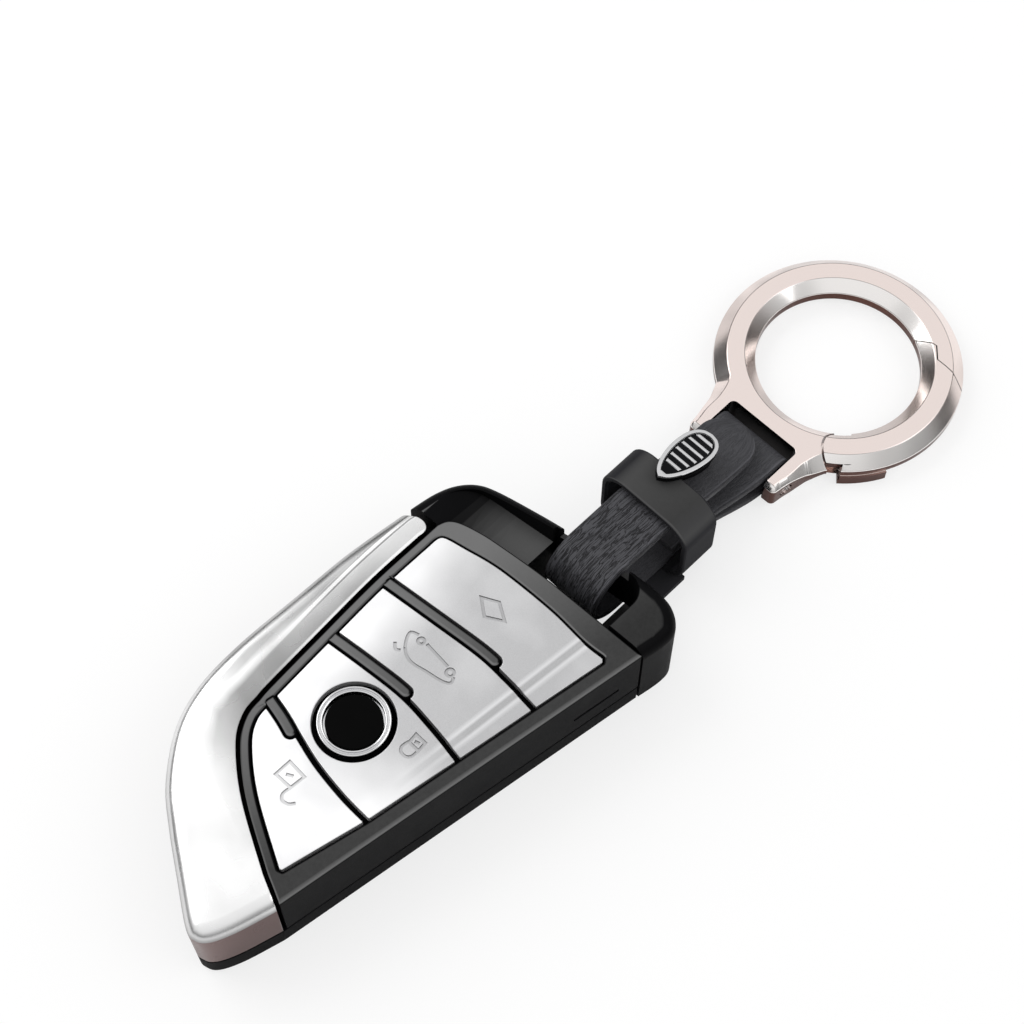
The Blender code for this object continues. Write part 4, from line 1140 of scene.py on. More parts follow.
def leather(name, colour, roughness=0.5, scale=(29.0, 116.0, 1.0)):
    """Black leather: fine grain, creases along the strap that are strong at its loop and carry painted shade,
    and a painted highlight along the cut edges.
    """
    finish = Finish(name, IOR=1.5)
    finish.shader.inputs["Specular IOR Level"].default_value = 0.3
    place = finish.place(scale, pattern="UV")
    across = finish.dot(place, (1.0, 0.0, 0.0))
    along = finish.dot(place, (0.0, 1.0, 0.0))
    warp = finish.noise(place, 0.35, 2.0)
    stretch = (2.3, 0.17, 1.0)
    stretched = finish.node("ShaderNodeVectorMath", {"operation": "MULTIPLY"}, {0: place, 1: stretch})
    bent = finish.node("ShaderNodeVectorMath", {"operation": "ADD"}, {0: stretched, 1: warp * 1.1})
    creases = finish.noise(bent, 1.3, 2.0, 0.55)
    grain = finish.node("ShaderNodeTexVoronoi", {"feature": "DISTANCE_TO_EDGE"},
                        {"Vector": place, "Scale": 2.6}).at_most(0.18) * 5.0
    loop = finish.between(along, 0.0, 1.0, 19.0, 27.0) * finish.between(along, 1.0, 0.0, 44.0, 50.0)
    lines = finish.between((creases - 0.5).size(), 0.0, 1.0, 0.010, 0.055)
    depth = loop * 0.75 + 0.25
    height = lines * depth + grain * 0.12 + warp * 0.3
    half = 5.37
    edges = finish.between((across - half).size() - half, 1.0, 0.0, 0.0, 0.30)
    edges = edges * finish.between((across - half).size(), 0.0, 1.0, 5.0, 5.3)
    # Painted shade in the creases, deepest at the loop.
    tone = finish.mix(lines * depth + (1.0 - depth) * 0.8, shade_of(colour, 0.50), shade_of(colour, 2.30))
    # Painted highlight along the cut edges.
    tone = finish.mix(edges * 0.8, tone, shade_of(colour, 4.0))
    finish.feed("Base Color", tone)
    finish.feed("Roughness", finish.between(lines * 0.6 + grain * 0.4, roughness + 0.14, roughness - 0.04))
    finish.feed("Normal", finish.bump(height, 0.9, 0.00020))
    return finish.surface


def soft_rubber(name, level=0.05):
    """Dark rubber of the pad below the buttons."""
    finish = Finish(name)
    fine = finish.noise(finish.place(fine_scale), 5.0)
    grey = (level, level, level)
    finish.feed("Base Color", finish.mix(fine, shade_of(grey, 0.8), shade_of(grey, 1.2)))
    finish.feed("Roughness", finish.between(fine, 0.7, 0.85, 0.3, 0.7))
    finish.feed("Normal", finish.bump(fine, 0.2, fine_depth))
    return finish.surface


# The case


def full_form():
    """The rounded outer form of the case and the cap together."""
    cover = settings().cover
    line = side_line() + cap_line()
    inner = round_it(line, cover.rounding)
    foot = [nearest(inner, point) for point in line]
    rows = [[Vector((*point, -over)) for point in line]]
    for step in range(11):
        turn = math.pi / 2 * step / 10
        height = cover.height - cover.rounding * (1.0 - math.sin(turn))
        rows.append([Vector((*low.lerp(point, math.cos(turn)), height)) for low, point in zip(foot, line)])
    return stacked(rows)


def finger_outline(shares, side, reach, grow):
    """Outline of a raised finger beside a line: straight start in the left bar, round end."""
    cover = settings().cover
    line = soft_line(on_cover(shares))
    middle = beside(line, side * (cover.panel_gap + cover.finger_width / 2))
    middle = middle[:max(3, round(len(middle) * reach))]
    start = (middle[0] - middle[1]).normalized() * (cover.panel_gap - fit / 3)
    middle = [middle[0] + start] + middle
    half = cover.finger_width / 2 + grow
    run = middle[-1] - middle[-2]
    heading = math.atan2(run.y, run.x)
    end = arc(middle[-1], half, heading - math.pi / 2, heading + math.pi / 2, 12)
    return beside(middle, -half)[:-1] + end + beside(middle, half)[:-1][::-1]


def press_pads(grow, low, high):
    """The four pads under the buttons, or the holes for them."""
    cover = settings().cover
    pads = []
    for x, y, width, length in press_pad_shares:
        outline = rounded_rectangle((x * cover.width, y * cover.length), width * cover.width + 2 * grow,
                                    length * cover.length + 2 * grow, pad_corner + grow)
        pads.append(plate(outline, low, high))
    return pads


class KEYCOVER_OT_front(Operator):
    """Black front half: right wall, border, thin left bar and three raised fingers."""

    bl_idname = "key_cover.front"
    bl_label = "Front half"

    def execute(self, context):
        cover = settings().cover
        top = cover.height
        item = plate(inner_outline(case_inset, 0.0, False), parting, deck_top)
        cut(item, plate(inner_outline(case_inset + case_wall, case_wall, True), parting - over, deck_bottom))
        edge = cover.panel_gap + cover.bar_width
        join(item, plate(beside_panel(edge) + seam_line()[::-1], deck_top - fit, top))
        window = panel_outline()
        cut(item, plate(round_it(window, cover.panel_gap), deck_top, top + over))
        join(item, *[plate(finger_outline(*row, 0.0), deck_top - fit, top + finger_lift)
                     for row in finger_rows])
        cut(item, *press_pads(pad_hole_gap, deck_bottom - over, deck_top + over))
        boss = bar_between(Vector((*emblem, deck_top - fit)), Vector((*emblem, boss_top)), boss_radius)
        join(item, boss)
        right = cover.width / 2
        slit = rectangle(right - slit_depth, right + over, slit_start, slit_end)
        cut(item, plate(slit, slit_bottom, slit_top))

        def share(middle):
            if middle.z > top + weld:
                return 0.62
            if middle.z > top - weld:
                return 1.0 if middle.x > right - fit else 0.45
            return 0.15 if middle.z > parting + weld else 0.25

        soften(item, front_soft_edge, 4, hard_edge, share)
        shade(item)
        # 0.090 is the painted lit grey of the case's upward faces above grey_from, with a painted highlight
        # on its leaning edges.
        grey_from = deck_top + 0.0015
        finish = moulded_black("black_case", settings().finishes.shell, 1.0, 0.45, 0.090, grey_from)
        as_piece(item, "case_front", finish, "cover", "front_shell")
        return {"FINISHED"}


class KEYCOVER_OT_back(Operator):
    """Flat black back half."""

    bl_idname = "key_cover.back"
    bl_label = "Back half"

    def execute(self, context):
        outline = side_line() + seam_line() + [on_cover(blade_end_shares)[0]]
        item = plate(outline, 0.0, back_top)
        cut(item, plate(inner_outline(case_wall, case_wall, True), back_floor, back_top + over))
        soften(item, back_soft_edge, 2, hard_edge, lambda middle: 1.0 if middle.z < weld else 0.5)
        shade(item)
        as_piece(item, "case_back", moulded_black("black_back", settings().finishes.shell), "cover",
                 "back_shell")
        return {"FINISHED"}


class KEYCOVER_OT_blade(Operator):
    """Bright blade-shaped side and tip."""

    bl_idname = "key_cover.blade"
    bl_label = "Blade"

    def execute(self, context):
        cover = settings().cover
        item = full_form()
        right = cover.width / 2
        low = -cover.length / 2 - over
        end = on_cover(blade_end_shares)
        beyond = end[1] + (end[1] - end[0])
        edge = beside_panel(cover.panel_gap + cover.bar_width + 2 * fit)
        rounded = [edge[-1]] + [Vector(point) for point in blade_corner]
        zone = [Vector((right + over, low)), Vector((right + over, edge[0].y))] + edge[:-1]
        zone += soft_line(rounded, 6) + [Vector((beyond.x, blade_corner[-1][1])), Vector((beyond.x, low))]
        trim(item, plate(zone, parting, cover.height + over))
        cut(item, plate(inner_outline(case_inset - fit, 0.0, True), parting - over, deck_top + fit))
        soften(item, cover.soft_edge, 2, hard_edge)
        shade(item)
        finish = blade_metal("bright_blade", settings().finishes.blade, side_line(), edge[1:])
        as_piece(item, "blade", finish, "cover", "blade_trim")
        return {"FINISHED"}


def band(low, high):
    """A strip of the panel between two lines, or beyond one of them."""
    far = settings().cover.length
    low = low or [Vector((high[0].x, -far)), Vector((high[-1].x, -far))]
    high = high or [Vector((low[0].x, far)), Vector((low[-1].x, far))]
    return plate(low + high[::-1], plate_bottom - over, plate_top + over)


def divider(shares, distance=0.0):
    """A line between two buttons, carried past the panel on both sides."""
    line = soft_line(on_cover(shares))
    line = [line[0] + (line[0] - line[1]).normalized() * over] + line
    line.append(line[-1] + (line[-1] - line[-2]).normalized() * over)
    return beside(line, distance) if distance else line


def crease(item):
    """Step the top down beside the right wall, along two lines, and let the step fade toward the tip."""
    cover = settings().cover
    rows = (-0.012, -0.006, 0.0, 0.008, 0.016, 0.024)
    fade_start, fade_end, wall_slope = -0.012, 0.008, 0.06

    def fold(shell):
        for place in crease_lines:
            bpy.ops.mesh.select_all(action="SELECT")
            bpy.ops.mesh.bisect(plane_co=(place, 0.0, 0.0), plane_no=(1.0, crease_slant, 0.0))
        for place in rows:
            bpy.ops.mesh.select_all(action="SELECT")
            bpy.ops.mesh.bisect(plane_co=(0.0, place, 0.0), plane_no=(0.0, 1.0, 0.0))

    edit(item, fold)
    for corner in item.data.vertices:
        across = corner.co.x + crease_slant * corner.co.y
        if corner.co.z > plate_top - weld and across > crease_lines[0]:
            step = min((across - crease_lines[0]) / (crease_lines[1] - crease_lines[0]), 1.0)
            slope = max(across - crease_lines[1], 0.0) * wall_slope
            fade = ease((corner.co.y - fade_start) / (fade_end - fade_start))
            corner.co.z -= (cover.crease_drop * step + slope) * fade
    return item


# Signs on the buttons: closed lines and open ones, in metres in the plan of the cover
closed_signs = {
    "function_button": [[(-0.0010, 0.0201), (0.0019, 0.0186), (0.0043, 0.0206), (0.0013, 0.0218)]],
    "lock_button": [[(0.0113, -0.0004), (0.0117, -0.0019), (0.0136, -0.0016), (0.0132, -0.0001)]],
    "unlock_button": [[(0.0040, -0.0175), (0.0044, -0.0202), (0.0074, -0.0196), (0.0072, -0.0171)]],
}
open_signs = {
    "boot_button": [
        [(-0.0010, 0.0062), (0.0003, 0.0056), (0.0018, 0.0056), (0.0039, 0.0064), (0.0066, 0.0074),
         (0.0077, 0.0083), (0.0072, 0.0092)],
        [(-0.0010, 0.0062), (-0.0020, 0.0072), (-0.0025, 0.0083), (-0.0014, 0.0090)],
        [(0.0005, 0.0091), (0.0030, 0.0093), (0.0053, 0.0095)],
        [(-0.0026, 0.0055), (-0.0016, 0.0049), (-0.0010, 0.0054)],
    ],
    "lock_button": [
        [(0.0116, -0.0019), (0.0116, -0.0031), (0.0122, -0.0037), (0.0132, -0.0036), (0.0137, -0.0029),
         (0.0136, -0.0017)],
        [(0.0121, -0.0012), (0.0128, -0.0008)],
    ],
    "unlock_button": [
        [(0.0074, -0.0197), (0.0075, -0.0210), (0.0083, -0.0216), (0.0093, -0.0212), (0.0098, -0.0203)],
        [(0.0053, -0.0190), (0.0062, -0.0183)],
    ],
    "function_button": [],
}
sign_wheels = {"boot_button": [((-0.0004, 0.0087), 0.0005), ((0.0063, 0.0092), 0.0006)]}


def mitred(points, distance, closed):
    """A line moved to its left by a distance, with its corners kept sharp."""
    moved = []
    count = len(points)
    for index, point in enumerate(points):
        first = (point - points[index - 1]).normalized() if closed or index else None
        after = (points[(index + 1) % count] - point).normalized() if closed or index < count - 1 else None
        first, after = first or after, after or first
        side = Vector((-first.y - after.y, first.x + after.x)) / (1.0 + first.dot(after))
        moved.append(point + side * distance)
    return moved


def sign_tools(node):
    """What is cut from a button for its sign."""
    cover = settings().cover
    half, low = cover.line_width / 2, plate_top - cover.line_depth
    tools = []
    for line in closed_signs.get(node, []):
        points = [Vector(point) for point in line]
        tool = plate(mitred(points, -half, True), low, plate_top + over)
        tools.append(cut(tool, plate(mitred(points, half, True), low - over, plate_top + 2 * over)))
    for line in open_signs[node]:
        points = soft_line([Vector(point) for point in line], 4)
        outline = mitred(points, -half, False) + mitred(points, half, False)[::-1]
        tools.append(plate(outline, low, plate_top + over))
    for centre, radius in sign_wheels.get(node, []):
        foot, head = Vector((*centre, low)), Vector((*centre, plate_top + over))
        beyond = Vector((0.0, 0.0, over))
        tool = bar_between(foot, head, radius + half, 24)
        tools.append(cut(tool, bar_between(foot - beyond, head + beyond, radius - half, 24)))
    return tools


class KEYCOVER_OT_buttons(Operator):
    """The four silver buttons with their creases and signs."""

    bl_idname = "key_cover.buttons"
    bl_label = "Buttons"

    def execute(self, context):
        cover = settings().cover
        finish = satin_silver("silver_buttons", settings().finishes.button)
        rows = [
            ("unlock_key", "unlock_button", None, divider(near_edge_shares, -cover.groove), 2),
            ("lock_key", "lock_button", divider(near_edge_shares), divider(middle_edge_shares), None),
            ("boot_key", "boot_button", divider(middle_edge_shares, cover.groove),
             divider(far_edge_shares), 1),
            ("function_key", "function_button", divider(far_edge_shares, cover.groove), None, 0),
        ]
        for body, node, low, high, finger in rows:
            item = plate(panel_outline(), plate_bottom, plate_top)
            trim(item, band(low, high))
            if finger is not None:
                outline = finger_outline(*finger_rows[finger], cover.panel_gap)
                cut(item, plate(outline, plate_bottom - over, plate_top + over))
            if node == "lock_button":
                cut(item, bar_between(Vector((*emblem, plate_bottom - over)),
                                      Vector((*emblem, plate_top + over)), badge_window_radius, 96))
            crease(item)
            soften(item, button_soft_edge, 3, hard_edge)
            cut(item, *sign_tools(node))
            shade(item)
            as_piece(item, node.replace("button", "plate"), finish, body, node)
        return {"FINISHED"}


class KEYCOVER_OT_round_badge(Operator):
    """Bright cup and blank black disc of the round badge."""

    bl_idname = "key_cover.round_badge"
    bl_label = "Round badge"

    def execute(self, context):
        outer, lip, valley, valley_depth = 0.0055, 0.0003, 0.0003, 0.0006
        low, high, floor = 0.0142, 0.0164, 0.0149
        inner = outer - 2 * lip - valley
        profile = [(0.0, low), (outer, low)]
        for edge in (outer, inner + lip):
            top = arc((edge - lip / 2, high - lip / 2), lip / 2, 0.0, math.pi, 8)
            profile += [(point.x, point.y) for point in top]
            if edge == outer:
                profile += [(outer - lip, high - valley_depth), (inner + lip, high - valley_depth)]
        profile += [(inner, floor), (0.0, floor)]
        ring = turned(profile, emblem, 128)
        shade(ring)
        as_piece(ring, "round_badge_cup", polished("bright_cup", settings().finishes.blade), "cover",
                 "emblem_ring")
        radius, seat, top, soft = inner - fit, floor + fit, 0.0161, 0.0002
        edge = arc((radius - soft, top - soft), soft, 0.0, math.pi / 2, 6)
        profile = [(0.0, seat), (radius, seat)] + [(point.x, point.y) for point in edge] + [(0.0, top)]
        disc = turned(profile, emblem, 128)
        shade(disc)
        as_piece(disc, "round_badge_disc", moulded_black("blank_disc", (0.002, 0.002, 0.002), 0.4, 0.6),
                 "cover", "emblem_disc")
        return {"FINISHED"}


# The end cap


def rim_line(inset):
    """The outer edge of the cap set in by a distance, seen from the strap, from right to left."""
    line = cap_line()
    middles = [first.lerp(second, 0.5) for first, second in zip(line, line[1:])]
    return [on_strap(point) for point in beside(middles, inset)]


def strap_plate(outline, low, high):
    """An outline seen from the strap, drawn from one height to another."""
    return prism([strap_point(point[0], point[1], low) for point in outline], (0.0, 0.0, high - low))


class KEYCOVER_OT_cap(Operator):
    """End cap with its slot, the bar for the strap and the two prongs."""

    bl_idname = "key_cover.cap"
    bl_label = "End cap"

    def execute(self, context):
        cover = settings().cover
        item = full_form()
        right = cover.width / 2
        far = cover.length / 2 + over
        end = on_cover(blade_end_shares)
        slope = (end[1] - end[0]).normalized()
        across = Vector((slope.y, -slope.x)) * 2 * fit
        zone = [Vector((right + over, far)), Vector((right + over, seam_line()[0].y + seam_gap))]
        zone += beside(seam_line(), -seam_gap)
        zone += [end[0] + across, end[1] + across + slope * over]
        zone.append(Vector((zone[-1].x, far)))
        trim(item, plate(zone, 0.0, cover.height + over))

        slot_start = -right
        rim = rim_line(rim_width)
        corner_x = slot_right - slot_corner
        rise = (height_on(rim, corner_x) - height_on(rim, 0.0)) / corner_x
        lean = math.atan(rise)
        corner_y = height_on(rim, corner_x) - slot_corner / math.cos(lean)
        corner = arc((corner_x, corner_y), slot_corner, 0.0, math.pi / 2 + lean, 16)
        edge = [point for point in rim if -slot_left < point.x < corner[-1].x - fit and point.y > -slot_left]
        slot = [Vector((-slot_left, slot_start)), Vector((slot_right, slot_start))] + corner + edge
        slot.append(Vector((-slot_left, height_on(rim, -slot_left))))
        tools = [
            strap_plate(slot, -over, cover.height + over),
            strap_plate(rectangle(-pocket_half, pocket_half, -pocket_start, over), bar.z + bar_half_height,
                        cover.height + over),
            strap_plate(rectangle(-low_pocket_left, low_pocket_right, -pocket_start, over), -over,
                        bar.z - bar_half_height),
        ]
        scoop_height = scoop_floor + scoop_radius
        scoop = bar_between(strap_point(scoop_middle, slot_start, scoop_height),
                            strap_point(scoop_middle, -slot_start, scoop_height), scoop_radius, 256)
        inner_rim = rim_line(scoop_rim)
        edge = [Vector((0.0, height_on(inner_rim, 0.0)))]
        edge += [point for point in inner_rim if point.x < 0.0 and point.y > 2 * slot_start]
        edge += [Vector((edge[-1].x, 2 * slot_start)), Vector((0.0, 2 * slot_start))]
        trim(scoop, strap_plate(edge, scoop_floor - over, cover.height + over))
        cut(item, *tools, scoop)
        ledge = rectangle(ledge_left, ledge_right, -ledge_start, ledge_end)
        join(item, strap_plate(ledge, ledge_bottom, ledge_top))
        for side, line_x, line_y in [
            (-1, beside(side_line(), case_inset + case_wall)[0].x, end[0].y),
            (1, right - case_wall, seam_line()[0].y),
        ]:
            outer = line_x - side * seam_gap
            inner = outer - side * prong_thickness
            prong = rectangle(min(outer, inner), max(outer, inner), line_y - prong_reach, line_y + prong_root)
            join(item, plate(prong, prong_bottom, prong_top))

        def share(middle):
            return 1.0 if middle.z > cover.height - fit / 3 and middle.x > cap_soft_from else 0.0

        soften(item, cap_soft_edge, 2, math.radians(38.0), share)
        shade(item)
        # 0.058 is the painted lit grey of the cap's upward faces; glint 0 leaves out the painted edge
        # highlight.
        finish = moulded_black("black_cap", settings().finishes.shell, 0.7, 0.40, 0.058, cap_grey_from, 0.955,
                               0.0)
        as_piece(item, "cap", finish, "cap", "end_cap")
        return {"FINISHED"}


# The strap


def spread(line, steps=6):
    return soft_line([Vector(point) for point in line], steps)


def strap_path():
    """The middle of the strap: distance from the bar, height, half width and place of its middle across."""
    strap = settings().strap
    run = pin_distance - widening_start
    path = []
    for point in spread(tongue_line):
        lean = -tongue_lean * ease((point.x - widening_start) / run)
        path.append((point.x, point.y, strap.width / 2, lean))
    loop = arc((0.0, bar.z), bar_bend, math.pi / 2, math.pi * 1.5, 36)
    for index, point in enumerate(loop[:-1]):
        path.append((point.x, point.y, strap.width / 2 + (low_half - strap.width / 2) * index / 36, 0.0))
    bend = arc((pin_distance + pin_slack, pin_rise), pin_bend, -math.pi / 2, math.pi / 2, 24)
    for point in spread(lower_line)[:-1] + bend + spread(return_line)[1:]:
        widening = ease((point.x - widening_start) / run)
        path.append((point.x, point.y, low_half + (strap.pin_width / 2 - low_half) * widening,
                     ring_shift * widening))
    return [Vector(point) for point in path]


def strap_section(half, deep, soft):
    """Points round the strap's section, close together on its two broad sides."""
    points = []
    for side in (1, -1):
        flat = half - soft
        points += [Vector((flat * side * (1.0 - index / 8), deep * side)) for index in range(17)]
        for turn in (1, 3):
            start = math.pi / 4 * (turn + 1 if side > 0 else turn + 5)
            centre = (-flat * side, (deep - soft) * side * (1 if turn == 1 else -1))
            points += arc(centre, soft, start, start + math.pi / 2, 4)[1:4]
    return points


class KEYCOVER_OT_strap(Operator):
    """The strap, one band of leather from the tongue over the bar and round the pin."""

    bl_idname = "key_cover.strap"
    bl_label = "Strap"

    def execute(self, context):
        strap = settings().strap
        path = strap_path()
        lengths = [0.0]
        for first, second in zip(path, path[1:]):
            lengths.append(lengths[-1] + (second.xy - first.xy).length)

        def at(distance):
            index = 0
            while index < len(path) - 2 and lengths[index + 1] < distance:
                index += 1
            step = (distance - lengths[index]) / (lengths[index + 1] - lengths[index])
            return path[index].lerp(path[index + 1], min(max(step, 0.0), 1.0))

        end = strap.width / 2
        turns = [math.pi / 2 * (step + 0.25) / 14 for step in range(14)]
        stations = [(end * (1.0 - math.cos(turn)), math.sin(turn)) for turn in turns]
        count = math.ceil((lengths[-1] - end) / 0.0004)
        stations += [(end + (lengths[-1] - end) * index / count, 1.0) for index in range(count + 1)]
        rows = []
        for distance, share in stations:
            middle = at(distance)
            run = (at(distance + strap.soft_edge).xy - at(distance - strap.soft_edge).xy).normalized()
            half = middle[2] * share
            soft = min(strap.soft_edge, half * 0.9)
            rows.append([
                strap_point(middle[3] + point.x, middle.x + run.y * point.y, middle.y - run.x * point.y)
                for point in strap_section(half, strap.thickness / 2, soft)
            ])
        item = stacked(rows)
        seat = height_on(spread(return_line), snap_distance)
        cut(item, bar_between(strap_point(-badge_shift, snap_distance, seat + strap.thickness),
                              strap_point(-badge_shift, snap_distance, badge_height), snap_radius))
        shade(item, hard_edge)
        as_piece(item, "leather_strap", leather("black_leather", settings().finishes.leather), "band",
                 "strap")
        return {"FINISHED"}


class KEYCOVER_OT_sleeve(Operator):
    """Sleeve that holds the two layers of the strap together."""

    bl_idname = "key_cover.sleeve"
    bl_label = "Sleeve"

    def execute(self, context):
        strap = settings().strap
        low, start, end, soft = sleeve_bottom, sleeve_start, sleeve_end, sleeve_soft_edge
        middle = (low + sleeve_top) / 2

        def ring(inset, along):
            outline = rounded_rectangle((0.0, middle), strap.sleeve_width - 2 * inset,
                                        sleeve_top - low - 2 * inset, sleeve_corner - inset, 14)
            return [strap_point(point.x, along, point.y) for point in outline]

        turns = [math.pi / 2 * step / 4 for step in range(5)]
        rims = [(soft * (1.0 - math.sin(turn)), soft * (1.0 - math.cos(turn))) for turn in turns]
        rows = [ring(inset, start + shift) for inset, shift in rims]
        rows += [ring(inset, end - shift) for inset, shift in rims[::-1]]
        item = stacked(rows)
        half, wall = strap.sleeve_width / 2, strap.sleeve_wall
        lip = rectangle(-half + fit, half - fit, sleeve_lip_start, start + wall)
        join(item, strap_plate(lip, low, low + wall))
        inner = [ring(wall - 2 * soft, start - soft), ring(wall, start + soft), ring(wall, end - soft),
                 ring(wall - 2 * soft, end + soft)]
        cut(item, stacked(inner))
        shade(item)
        # 0.040 is the painted lit grey of the sleeve's upward faces above 8 mm, with a painted highlight on
        # its leaning edges.
        finish = moulded_black("sleeve_leather", settings().finishes.leather, 1.2, 0.5, 0.040, 0.0080)
        as_piece(item, "leather_sleeve", finish, "keeper", "strap_keeper")
        return {"FINISHED"}


def badge_point(point, height):
    """A place seen from the tip of the strap's badge, which leans down toward the ring."""
    lean = math.asin(badge_drop / badge_length)
    return strap_point(
        point[0] - badge_shift,
        badge_start + point[1] * math.cos(lean) + height * math.sin(lean),
        badge_height - point[1] * math.sin(lean) + height * math.cos(lean),
    )


def badge_plate(outline, low, high):
    travel = badge_point((0.0, 0.0), high) - badge_point((0.0, 0.0), low)
    return prism([badge_point(point, low) for point in outline], travel)


def badge_outline(inset=0.0):
    """The strap's badge in plan with its tip at the origin, set in by a distance."""
    half = soft_line([Vector((x * badge_width, y * badge_length)) for x, y in badge_edge_shares])
    line = half + [Vector((-point.x, point.y)) for point in half[1:-1]][::-1]
    return round_it(line, inset) if inset else line


class KEYCOVER_OT_strap_badge(Operator):
    """Bright badge of the strap with a dark field and plain bars."""

    bl_idname = "key_cover.strap_badge"
    bl_label = "Strap badge"

    def execute(self, context):
        strap = settings().strap
        item = badge_plate(badge_outline(), -badge_thickness, 0.0)
        field = badge_outline(strap.badge_rim)
        cut(item, badge_plate(field, -strap.badge_recess, over))
        count = strap.badge_bars
        for index in range(count):
            along = badge_bar_start + index * badge_bar_span / max(count - 1, 1)
            outline = rectangle(-badge_bar_half, badge_bar_half, along, along + badge_bar_width)
            bar_piece = badge_plate(outline, -strap.badge_recess - fit / 3, -20 * weld)
            trim(bar_piece, badge_plate(badge_outline(strap.badge_rim + badge_bar_gap), -over, over))
            join(item, bar_piece)
        soften(item, badge_soft_edge, 2, hard_edge)
        shade(item)
        as_piece(item, "badge_front", polished("bright_badge", settings().finishes.blade, 0.1), "band",
                 "badge_plate")
        enamel = badge_plate(badge_outline(strap.badge_rim + 25 * weld), -strap.badge_recess - 10 * weld,
                             -strap.badge_recess + 15 * weld)
        shade(enamel)
        as_piece(enamel, "badge_enamel", moulded_black("black_enamel", (0.008, 0.008, 0.009), 0.2, 0.3),
                 "band", "badge_plate")
        dress("badge_base", moulded_black("badge_black", settings().finishes.shell, 0.5, 0.35))
        return {"FINISHED"}


# The ring


def ring_section():
    """Section of the ring, down its outer side and back up its inner side."""
    ring = settings().ring
    return [
        (ring.outer_flat, ring.thickness), (ring.outer_radius, outer_side_top),
        (ring.outer_radius, outer_side_bottom), (ring.outer_flat, 0.0), (ring.inner_flat, 0.0),
        (ring.inner_radius, inner_side_bottom), (ring.inner_radius, inner_side_top),
        (ring.inner_flat, ring.thickness),
    ]


hinge = Vector((gate_radius * math.cos(gate_angle), gate_radius * math.sin(gate_angle)))
toward_body = gate_angle - math.pi / 2


def ring_plate(outline, low, high):
    return prism([ring_point(point, low) for point in outline], (0.0, 0.0, high - low))


def gate_outline(grow, room=0.0):
    """All of the ring that belongs to the gate, grown by a gap for the ring's own side."""
    ring = settings().ring
    inward = gate_angle + math.pi
    knuckle = arc(hinge, knuckle_radius + grow + room, inward, inward + math.pi, 28)
    start = gate_angle + math.radians(12.0)
    outside = arc((0.0, 0.0), ring.outer_radius + over, start, math.radians(24.0), 8)
    back = grow / mouth_radius
    outer_face = arc(hinge, mouth_radius + grow, math.radians(68.0), math.radians(91.4) - back, 12)
    lip_face = arc(hinge, lip_radius + grow, math.radians(95.4) - back, math.radians(110.0), 10)
    inside = arc((0.0, 0.0), ring.inner_radius - over, math.radians(70.0), start, 10)
    return knuckle + outside + outer_face + lip_face + inside


def hinge_strip(radius, direction, half_width, reach):
    """A round end about the hinge that opens into a strip."""
    run = Vector((math.cos(direction), math.sin(direction)))
    side = Vector((-run.y, run.x))
    back = arc(hinge, radius, direction + math.pi / 2, direction + math.pi * 1.5, 20)
    return back + [
        hinge - side * half_width, hinge - side * half_width + run * reach,
        hinge + side * half_width + run * reach, hinge + side * half_width,
    ]


def ring_body_outline():
    """Outer edge of the ring with its neck and ears, and the width of its slanted side at each point."""
    ring = settings().ring
    shares = [(1.28, 0.708), (1.183, 0.794), (1.118, 0.8585), (1.032, 1.0), (1.0, 1.083)]
    side = soft_line([Vector((x * half_ear, -y * ring_reach)) for x, y in shares])
    corner = arc((half_ear - ear_corner, ear_corner - ear_reach), ear_corner, 0.0, -math.pi / 2, 6)
    right = side + corner
    start = math.atan2(right[0].y, right[0].x)
    around = arc((0.0, 0.0), ring.outer_radius, start, math.pi - start, 150)
    left = [Vector((-point.x, point.y)) for point in right]
    line = around + left[1:] + right[1:][::-1]
    slant = ring.outer_radius - ring.outer_flat
    widths = []
    for point in line:
        near_ear = ease((-point.y - ear_slant_start) / ear_slant_run)
        widths.append(slant + (ear_corner - slant) * near_ear)
    return line, widths


